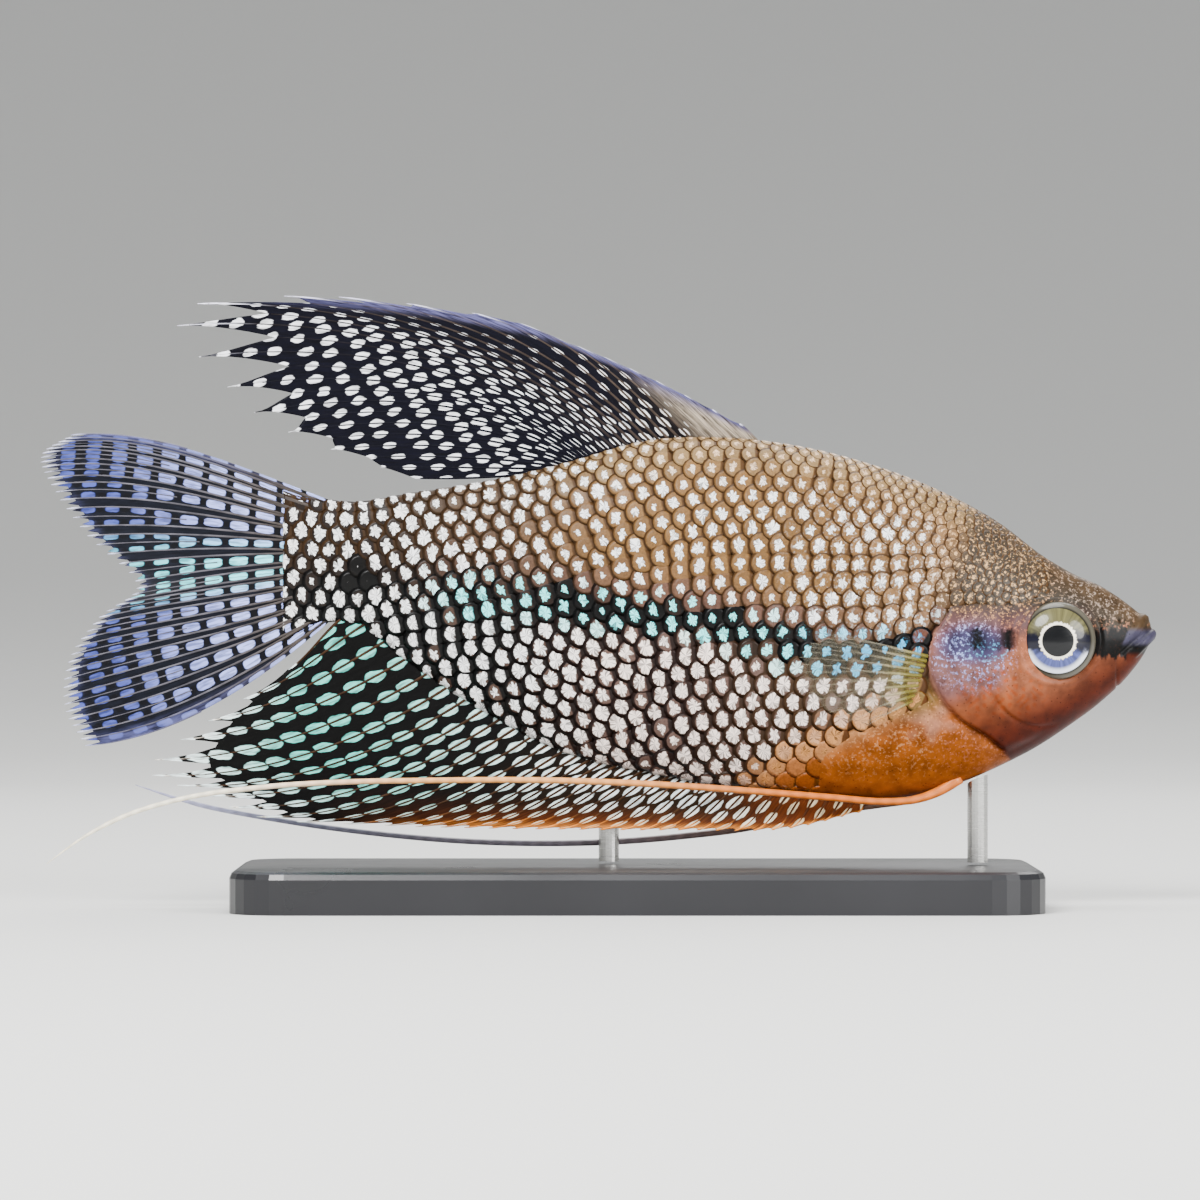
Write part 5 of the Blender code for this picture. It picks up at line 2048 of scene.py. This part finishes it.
@dataclass
class DorsalFin(FinForm):
    """The long fin of the back, swept to the rear.

    Attributes:
        row_places: Ray numbers, and the share of the way along the fin at each.
    """

    name: str = "dorsal_fin"
    keys: tuple = (
        (0.00, 17.6, 15.0, 51.9, 145, 152, 0.10),
        (0.20, 13.8, 5.0, 57.0, 138, 155, 0.06),
        (0.40, 9.6, -4.5, 61.0, 135, 160, 0.04),
        (0.52, 7.0, -12.5, 63.6, 134, 167, 0.05),
        (0.64, 4.5, -31.0, 65.6, 133, 176, 0.10),
        (0.76, 2.0, -45.1, 63.8, 135, 183, 0.13),
        (0.86, -0.3, -41.6, 57.6, 138, 188, 0.13),
        (0.93, -2.0, -35.0, 51.8, 146, 190, 0.07),
        (1.00, -4.6, -20.6, 46.1, 188, 178, 0.02),
    )
    rays: int = 30
    period: float = 3.0
    bend: float = 1.1
    free_share: float = 1.35
    paired: int = 12
    row_places: tuple = ((0, 0.0), (9, 0.53), (12, 0.66), (18, 0.84), (29, 1.0))

    def place(self, u: Array) -> Array:
        """Share of the way at ray numbers u, with the rays closer toward the rear."""
        table = np.array(self.row_places)
        return smooth(table[:, 0], table[:, 1], np.clip(u, 0, self.rays - 1))

    def root(self, key: Array) -> Array:
        """Roots sunk into the back."""
        return np.column_stack((key[:, 0], FORM.profile(key[:, 0])[0] - self.sink))

    def colours(self, obj: bpy.types.Object, of_rays: bool) -> tuple[Array, Array, Array]:
        """Brown toward the front, navy toward the rear, with a plain lavender upper edge."""
        place, out, _ = self.where(obj)
        ground = blend(linear("#0c0705"), linear("#05050f"), ease(place + 0.35 * out, 0.25, 0.75))
        edge = ease(out, 0.66, 0.84) * ease(place, 0.74, 0.62)
        front = ease(place, 0.4, 0.2)
        plain = np.maximum(edge, 0.85 * front)
        spot = blend(linear("#f6f2ec"), linear("#fafbff"), ease(place, 0.3, 0.7))
        spot[:, 3] = 1 - plain
        blade = blend(linear("#b8a894"), linear("#605e8b"), ease(out, 0.35, 0.8))
        blade[:, 3] = 0.95 * plain
        if of_rays:
            ground = blend(ground, linear("#3d332c"), 0.8 * ease(place, 0.9, 0.5))
            tip = ease(out, 0.84, 0.95)
            ground = blend(ground, linear("#e6e6f6"), tip * ease(place, 0.86, 0.76))
            spot[:, 3] = tip * ease(place, 0.76, 0.86)
            blade[:, 3] = 0.6 * plain
        return ground, spot, blade


@dataclass
class AnalFin(FinForm):
    """The long fin of the belly, swept to the rear."""

    name: str = "anal_fin"
    keys: tuple = (
        (0.00, 29.2, 27.7, 10.15, 215, 200, 0.10),
        (0.12, 23.5, 20.0, 8.45, 215, 195, 0.10),
        (0.27, 16.0, 9.5, 8.3, 212, 190, 0.08),
        (0.42, 8.5, -1.5, 8.35, 210, 186, 0.07),
        (0.56, 1.5, -13.5, 8.5, 211, 184, 0.07),
        (0.66, -3.6, -23.5, 8.8, 213, 181, 0.09),
        (0.74, -8.5, -36.5, 9.6, 214, 178, 0.13),
        (0.81, -12.8, -43.5, 12.4, 214, 176, 0.16),
        (0.87, -17.0, -48.4, 14.8, 213, 178, 0.18),
        (0.92, -21.0, -44.5, 18.4, 211, 185, 0.16),
        (0.97, -25.0, -38.5, 22.2, 211, 196, 0.13),
        (1.00, -27.4, -33.2, 25.6, 217, 216, 0.10),
    )
    rays: int = 36
    period: float = 2.7
    bend: float = -0.8
    free_share: float = 1.2
    columns: int = 5
    nominal: float = 1.3

    def root(self, key: Array) -> Array:
        """Roots sunk into the belly."""
        return np.column_stack((key[:, 0], FORM.profile(key[:, 0])[1] + self.sink))

    def colours(self, obj: bpy.types.Object, of_rays: bool) -> tuple[Array, Array, Array]:
        """Black-brown, with orange toward the front of the lower edge."""
        place, out, x = self.where(obj)
        ground = blend(linear("#211508"), linear("#050505"), ease(place, 0.35, 0.8))
        warm = ease(out, 0.4, 0.9) * ease(x, -32.0, -2.0)
        warm = np.maximum(warm, ease(x, 10.0, 22.0))
        ground = blend(ground, linear("#582605"), 0.85 * warm)
        spot = blend(linear("#f2fdfd"), linear("#62cfc0"), ease(x, 0.0, -28.0) * ease(out, 0.95, 0.5))
        spot = blend(spot, linear("#f3dcae"), warm)
        spot[:, 3] = 1.16 - 0.35 * warm
        blade = linear("#e08a35") * np.ones((len(x), 1))
        blade[:, 3] = 0.75 * ease(out, 0.72, 0.95) * ease(x, -28.0, -4.0)
        if of_rays:
            ground = blend(ground, linear("#402917"), 0.6)
            ground = blend(ground, linear("#e0832c"), warm * ease(out, 0.6, 0.9))
            ground = blend(ground, linear("#eee8dc"), ease(out, 0.88, 0.98) * ease(x, -12.0, -24.0))
            spot[:, 3] = ease(out, 0.8, 0.9) * ease(x, -16.0, -30.0)
        return ground, spot, blade


@dataclass
class CaudalFin(FinForm):
    """The forked tail fin.

    Attributes:
        root_x: Where the solids' rays start.
    """

    name: str = "caudal_fin"
    keys: tuple = (
        (0.00, 43.8, -56.8, 50.7, 160, 185, 0.06),
        (0.12, 42.2, -60.0, 48.6, 163, 190, 0.05),
        (0.25, 40.7, -58.9, 45.2, 168, 188, 0.05),
        (0.38, 38.9, -55.0, 39.8, 175, 184, 0.05),
        (0.50, 37.1, -49.7, 34.6, 183, 190, 0.05),
        (0.62, 35.3, -53.6, 31.2, 190, 192, 0.05),
        (0.75, 33.6, -56.9, 26.5, 200, 195, 0.05),
        (0.88, 32.0, -57.3, 21.3, 210, 194, 0.05),
        (1.00, 30.5, -55.3, 17.35, 221, 184, 0.06),
    )
    rays: int = 16
    period: float = 2.75
    bend: float = 1.4
    edge_tips: int = 4
    columns: int = 3
    root_x: float = -29.9
    ray_radius: tuple = (0.19, 0.1)
    nominal: float = 2.1

    def root(self, key: Array) -> Array:
        """Roots sunk into the tail stalk."""
        return np.column_stack((np.full(len(key), self.root_x + self.sink), key[:, 0]))

    def ray_lines(self) -> list:
        """Pairs of rays between the rows of spots, then a third along each row's middle.

        Returns:
            Ray number and share of the way along each line, with its radii.
        """
        found = []
        root_radius, tip_radius = self.ray_radius
        v = np.linspace(0, 1, 48)
        radius = root_radius + (tip_radius - root_radius) * v**0.8
        for gap in range(-1, self.rays):
            for sign in (-1, 1):
                u = gap + 0.5 + sign * 0.17 * ease(v, 0.0, 0.3)
                inside = u.min() >= 0 and u.max() <= self.rays - 1
                if inside:
                    found.append((u, v, radius))
        late = v[v > 0.55]
        for row in range(self.rays):
            found.append((np.full_like(late, row), late, 0.8 * radius[v > 0.55]))
        return found

    def colours(self, obj: bpy.types.Object, of_rays: bool) -> tuple[Array, Array, Array]:
        """Grey strips, with lavender blocks that turn blue toward the edge."""
        place, out, _ = self.where(obj)
        ground = blend(linear("#050505"), linear("#0e1018"), ease(out, 0.1, 0.4))
        middle = ease(np.abs(place - 0.5), 0.16, 0.02)
        spot = blend(linear("#abb7fd"), linear("#4d58a9"), ease(out, 0.25, 0.85))
        spot = blend(spot, linear("#79fdfd"), middle * 0.8)
        spot[:, 3] = 1.1 + 0.2 * ease(out, 0.25, 0.08) - 0.25 * ease(out, 0.45, 0.8)
        edge = np.maximum(ease(place, 0.06, 0.0), ease(place, 0.96, 1.0))
        blade = blend(linear("#4a485f"), linear("#5d5f92"), ease(out, 0.2, 0.8))
        blade[:, 3] = 0.7 * np.maximum(edge * ease(out, 0.1, 0.3), 0.6 * ease(out, 0.92, 0.99))
        if of_rays:
            ground = blend(linear("#3e3835"), linear("#525057"), ease(out, 0.1, 0.6))
            ground = blend(ground, linear("#dfe2f6"), ease(out, 0.93, 0.99))
            spot[:, 3] = 0.0
        return ground, spot, blade


@dataclass
class PectoralFin(FinForm):
    """A clear fin on the side behind the gill cover.

    Attributes:
        side: Which side of the fish.
        lift: How far the tips stand off the flank.
        away: How far the fin lies from the flank near its root.
    """

    side: Side = Side.RIGHT
    keys: tuple = (
        (0.00, 34.9, 27.0, 24.6, 29.4, 168, 172, 0.04),
        (0.30, 34.5, 25.6, 21.4, 27.6, 172, 176, 0.03),
        (0.60, 34.0, 24.2, 21.6, 23.6, 180, 184, 0.03),
        (0.85, 33.6, 23.0, 25.0, 20.6, 192, 198, 0.03),
        (1.00, 33.3, 22.2, 28.2, 19.6, 202, 208, 0.04),
    )
    rays: int = 10
    period: float = 2.0
    bend: float = 0.0
    lift: float = 2.4
    away: float = 0.85
    branches: tuple = (0.45,)
    ray_radius: tuple = (0.2, 0.05)
    half: float = 0.06
    levels: int = 40

    def root(self, key: Array) -> Array:
        """Roots on the flank."""
        return key[:, :2]

    def sway(self, u: Array, v: Array, flat: Array) -> Array:
        """Distance from the middle plane: close on the flank at the root, then lifting off."""
        key = self.key(u)
        root = FORM.flank(key[:, 0], key[:, 1])
        here = FORM.flank(flat[:, 0], flat[:, 1])
        close = self.away * ease(v, 0.0, 0.15) - 0.15 * ease(v, 0.15, 0.0)
        return self.side.value * (np.maximum(root, here) + close + self.lift * v)

    def colours(self, obj: bpy.types.Object, of_rays: bool) -> tuple[Array, Array, Array]:
        """Faint olive rays in a clear membrane, with neither spots nor streaks."""
        _, out, _ = self.where(obj)
        ground = blend(linear("#8a7f33"), linear("#b8ae92"), ease(out, 0.05, 0.5))
        none = np.zeros_like(ground)
        return ground, none, none


@dataclass(frozen=True)
class ClearFinish:
    """Clear fin membrane or its faint rays, which the light mostly passes through.

    Attributes:
        name: Name of the material.
        near: Opacity at the root.
        far: Opacity at the tip.
    """

    name: str
    near: float
    far: float

    def material(self) -> bpy.types.Material:
        """The finish as a material."""
        look = Shade(self.name)
        ground = look.read("ground")
        out = look.read("out", "Fac")
        place = look.add("UVMap", uv_map="RayPlace")
        streak_at = look.vector("MULTIPLY", place, (6.0, 1.0, 0))
        streak = look.noise(streak_at, 1.0, 2.0)
        tone = look.ramp(streak, 0.3, 0.7, 0.8, 1.15)
        colour = look.tint(ground, tone)
        look.set("Base Color", colour)
        alpha = look.ramp(out, 0.0, 0.45, self.near, self.far)
        look.set("Alpha", alpha)
        look.set("Roughness", 0.3)
        return look.material


@dataclass
class Pelvic:
    """One long pelvic filament.

    Attributes:
        side: Which side of the fish.
        route: Path (x, distance from the middle plane, z).
        base: Colour near the breast.
        middle: Colour half way.
        tip: Colour at the tip.
        root_radius: Radius in the breast.
        radius: Radius past the root.
        end_radius: Radius before the tip.
        tip_radius: Radius at the very tip.
        root_taper: Share of the length over which it thins past the root.
        taper: Share of the length over which it thins to the tip.
        rings: Rings of the tube.
        sides: Corners of each ring.
    """

    side: Side
    route: tuple
    base: str
    middle: str
    tip: str
    root_radius: float = 0.7
    radius: float = 0.43
    end_radius: float = 0.26
    tip_radius: float = 0.06
    root_taper: float = 0.09
    taper: float = 0.08
    rings: int = 160
    sides: int = 12

    def build(self) -> None:
        """Make and dress the filament."""
        route = np.array(self.route) * (1, self.side.value, 1)
        steps = np.linalg.norm(np.diff(route, axis=0), axis=1)
        knots = np.concatenate(((0.0,), np.cumsum(steps)))
        part = np.linspace(0, 1, self.rings)
        path = smooth(knots, route, part * knots[-1])
        root = np.clip(1 - part / self.root_taper, 0, 1) ** 2
        radii = self.radius + (self.end_radius - self.radius) * part
        radii = radii + (self.root_radius - self.radius) * root
        tip = np.clip((part - 1 + self.taper) / self.taper, 0, 1)
        radii = radii * (1 - tip) + self.tip_radius * tip - 0.02
        obj = loft(f"pelvic_filament_{self.side.label}", tube_rings(path, radii, self.sides))
        x = points_of(obj)[:, 0]
        colour = blend(linear(self.base), linear(self.middle), ease(x, 25.0, -10.0))
        colour = blend(colour, linear(self.tip), ease(x, -15.0, -45.0))
        paint(obj, "ground", colour)
        nodes = [f"pelvic_filament_{self.side.label}_{number}" for number in (1, 2, 3)]
        dress(obj, FilamentFinish(f"Fin filament {self.side.label}").material(), "filament", *nodes)


@dataclass
class Eye:
    """One eye, a flattened ball in its socket.

    Attributes:
        side: Which eye.
    """

    side: Side

    def build(self) -> None:
        """Make and dress the eye."""
        obj = ball(f"eyeball_{self.side.label}", self.side, (-0.02, 0.0), 96)
        dress(obj, EyeFinish(self.side).material(), "eye", f"eye_{self.side.label}")


@dataclass(frozen=True)
class Stand:
    """The base and rods, which keep their solids and get their finish."""

    def dress(self) -> None:
        """Give the base and rods their materials."""
        finishes = {
            "stand_base": BaseFinish().material(),
            "stand_rod_front": RodFinish().material(),
            "stand_rod_rear": RodFinish().material(),
        }
        for name, material in finishes.items():
            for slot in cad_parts[name].material_slots:
                slot.material = material
            LOG.info("%s: finished", name)


@dataclass(frozen=True)
class Studio:
    """Pale sweep, soft lights and the camera.

    Attributes:
        field: Width of the view in millimetres, at the fish.
        lens: Focal length of the camera.
        sensor: Width of the camera's sensor.
        centre: Middle of the view, (x, z).
        floor_radius: Radius of the level floor.
        bowl: Radius of the curve that rises round it.
        corners: Corners of the floor's outline.
        lamps: Name, place, width and power of each soft light.
        sky: Colour of the light from all round, linear.
        sky_power: Its strength.
    """

    field: float = 128.9
    lens: float = 200.0
    sensor: float = 36.0
    centre: tuple = (0.05, 32.98)
    floor_radius: float = 500.0
    bowl: float = 1300.0
    corners: int = 96
    lamps: tuple = (
        ("key", (-220.0, -460.0, 420.0), 300.0, 7.5),
        ("fill", (380.0, -400.0, 200.0), 300.0, 4.0),
        ("top", (0.0, 60.0, 620.0), 420.0, 4.0),
        ("back", (60.0, 430.0, 420.0), 420.0, 2.5),
    )
    sky: tuple = (0.93, 0.95, 1.0, 1)
    sky_power: float = 0.4

    def build_floor(self) -> None:
        """Make the level floor and the curve round it."""
        turns = np.linspace(0, 2 * math.pi, self.corners, endpoint=False)
        rise = np.linspace(0, math.pi / 2, self.corners // 4)
        level = np.linspace(0, self.floor_radius, 8)[1:-1]
        radii = np.concatenate((level, self.floor_radius + self.bowl * np.sin(rise)))
        heights = np.concatenate((np.zeros(len(level)), self.bowl * (1 - np.cos(rise))))
        round_x = radii[:, None] * np.cos(turns)
        round_y = radii[:, None] * np.sin(turns)
        rings = np.stack((round_x, round_y, np.repeat(heights[:, None], self.corners, axis=1)), axis=2)
        faces = [tuple(range(self.corners))]
        for start in range(0, (len(radii) - 1) * self.corners, self.corners):
            for corner in range(self.corners):
                after = (corner + 1) % self.corners
                outer = start + self.corners
                faces.append((start + corner, outer + corner, outer + after, start + after))
        floor = mesh_object("floor", rings.reshape(-1, 3), faces)
        floor.data.materials.append(FloorFinish().material())
        floor.data.shade_smooth()

    def light(self, name: str, place: tuple, size: float, power: float) -> None:
        """Add a soft light aimed at the fish.

        Args:
            name: Name of the light.
            place: Its place in millimetres.
            size: Its width in millimetres.
            power: Its power in watts.
        """
        lamp = bpy.data.lights.new(name, "AREA")
        lamp.shape = "DISK"
        lamp.size = size * MM
        lamp.energy = power
        obj = bpy.data.objects.new(name, lamp)
        bpy.context.scene.collection.objects.link(obj)
        obj.location = [v * MM for v in place]
        target = np.array((self.centre[0], 0.0, self.centre[1])) - np.array(place)
        obj.rotation_euler = (
            math.atan2(math.hypot(target[0], target[1]), -target[2]),
            0.0,
            math.atan2(target[1], target[0]) - math.pi / 2,
        )

    def build_camera(self) -> None:
        """Set up the camera square to the fish's right side."""
        camera = bpy.data.cameras.new("camera")
        camera.lens = self.lens
        camera.sensor_width = self.sensor
        camera.clip_start = 0.01
        camera.clip_end = 20.0
        obj = bpy.data.objects.new("camera", camera)
        bpy.context.scene.collection.objects.link(obj)
        distance = self.field * self.lens / self.sensor
        obj.location = (self.centre[0] * MM, -distance * MM, self.centre[1] * MM)
        obj.rotation_euler = (math.pi / 2, 0, 0)
        bpy.context.scene.camera = obj

    def build(self) -> None:
        """Set up the whole studio."""
        self.build_floor()
        for lamp in self.lamps:
            self.light(*lamp)
        world = bpy.data.worlds.new("studio")
        world.use_nodes = True
        bpy.context.scene.world = world
        background = world.node_tree.nodes["Background"]
        background.inputs["Color"].default_value = self.sky
        background.inputs["Strength"].default_value = self.sky_power
        self.build_camera()


NEAR_FILAMENT = (
    (38.6, 1.0, 13.9), (36.4, 1.5, 12.5), (33.5, 2.15, 11.55), (30.7, 2.4, 11.4),
    (24.7, 2.5, 11.85), (18.6, 2.6, 12.35), (10.8, 2.9, 12.95), (3.5, 3.2, 13.4),
    (-8.5, 3.7, 13.75), (-18.0, 4.0, 13.7), (-27.0, 4.3, 13.55), (-36.0, 4.6, 13.0),
    (-44.9, 4.9, 11.7), (-50.5, 5.1, 10.0), (-55.0, 5.2, 7.7), (-58.9, 5.3, 4.9),
)
FAR_FILAMENT = (
    (38.6, 1.0, 13.9), (36.4, 1.5, 12.5), (33.5, 2.2, 11.45), (30.0, 2.7, 10.9),
    (25.0, 3.3, 10.2), (20.0, 3.9, 9.2), (15.1, 4.4, 8.2), (9.5, 4.8, 7.5),
    (3.5, 5.1, 6.95), (-5.0, 5.3, 6.65), (-13.9, 5.3, 6.85), (-24.0, 5.1, 7.7),
    (-35.7, 4.8, 9.35), (-43.5, 4.6, 10.9), (-50.2, 4.5, 13.0),
)


def main() -> None:
    """Build every piece in order and report it."""
    Studio().build()
    skin = Skin().build()
    dress(skin, SkinFinish().material(), "orange_skin", "head", "lower_jaw", "gill_cover_right",
          "gill_cover_left", "trunk", "tail_stalk")
    scale_material = ScaleFinish().material()
    for side in Side:
        dress(ScaleCoat(side).build(), scale_material, "scaled_skin")
        Eye(side).build()
    DorsalFin().build(FinFinish("Dorsal fin membrane", 0.4, 0.24, 0.5, 0.3), "dark_fin")
    AnalFin().build(FinFinish("Anal fin membrane", 0.45, 0.35, 0.5, 0.3), "dark_fin")
    tail = FinFinish("Tail fin membrane", 0.21, 0.33, 0.0, 0.1, squareness=3.2, dot_half=(0.17, 0.13),
                     splits=True)
    CaudalFin().build(tail, "dark_fin")
    for side in Side:
        fin = PectoralFin(name=f"pectoral_fin_{side.label}", side=side)
        sheet, rays = fin.sheet(), fin.ray_piece()
        for obj, of_rays in ((sheet, False), (rays, True)):
            paint(obj, "ground", fin.colours(obj, of_rays)[0])
        dress(sheet, ClearFinish("Clear fin membrane", 0.16, 0.03).material(), "clear_fin", fin.name)
        dress(rays, ClearFinish("Clear fin rays", 0.7, 0.08).material(), "clear_fin")
    Pelvic(Side.RIGHT, NEAR_FILAMENT, "#cf6d1e", "#eba45c", "#f3ead2").build()
    # The left filament's darker, greyer colours are painted shade of the far side; the right one keeps the
    # filaments' orange, cream and white.
    Pelvic(Side.LEFT, FAR_FILAMENT, "#7b5a48", "#78737f", "#9696b2").build()
    Stand().dress()


if __name__ == "__main__":
    main()
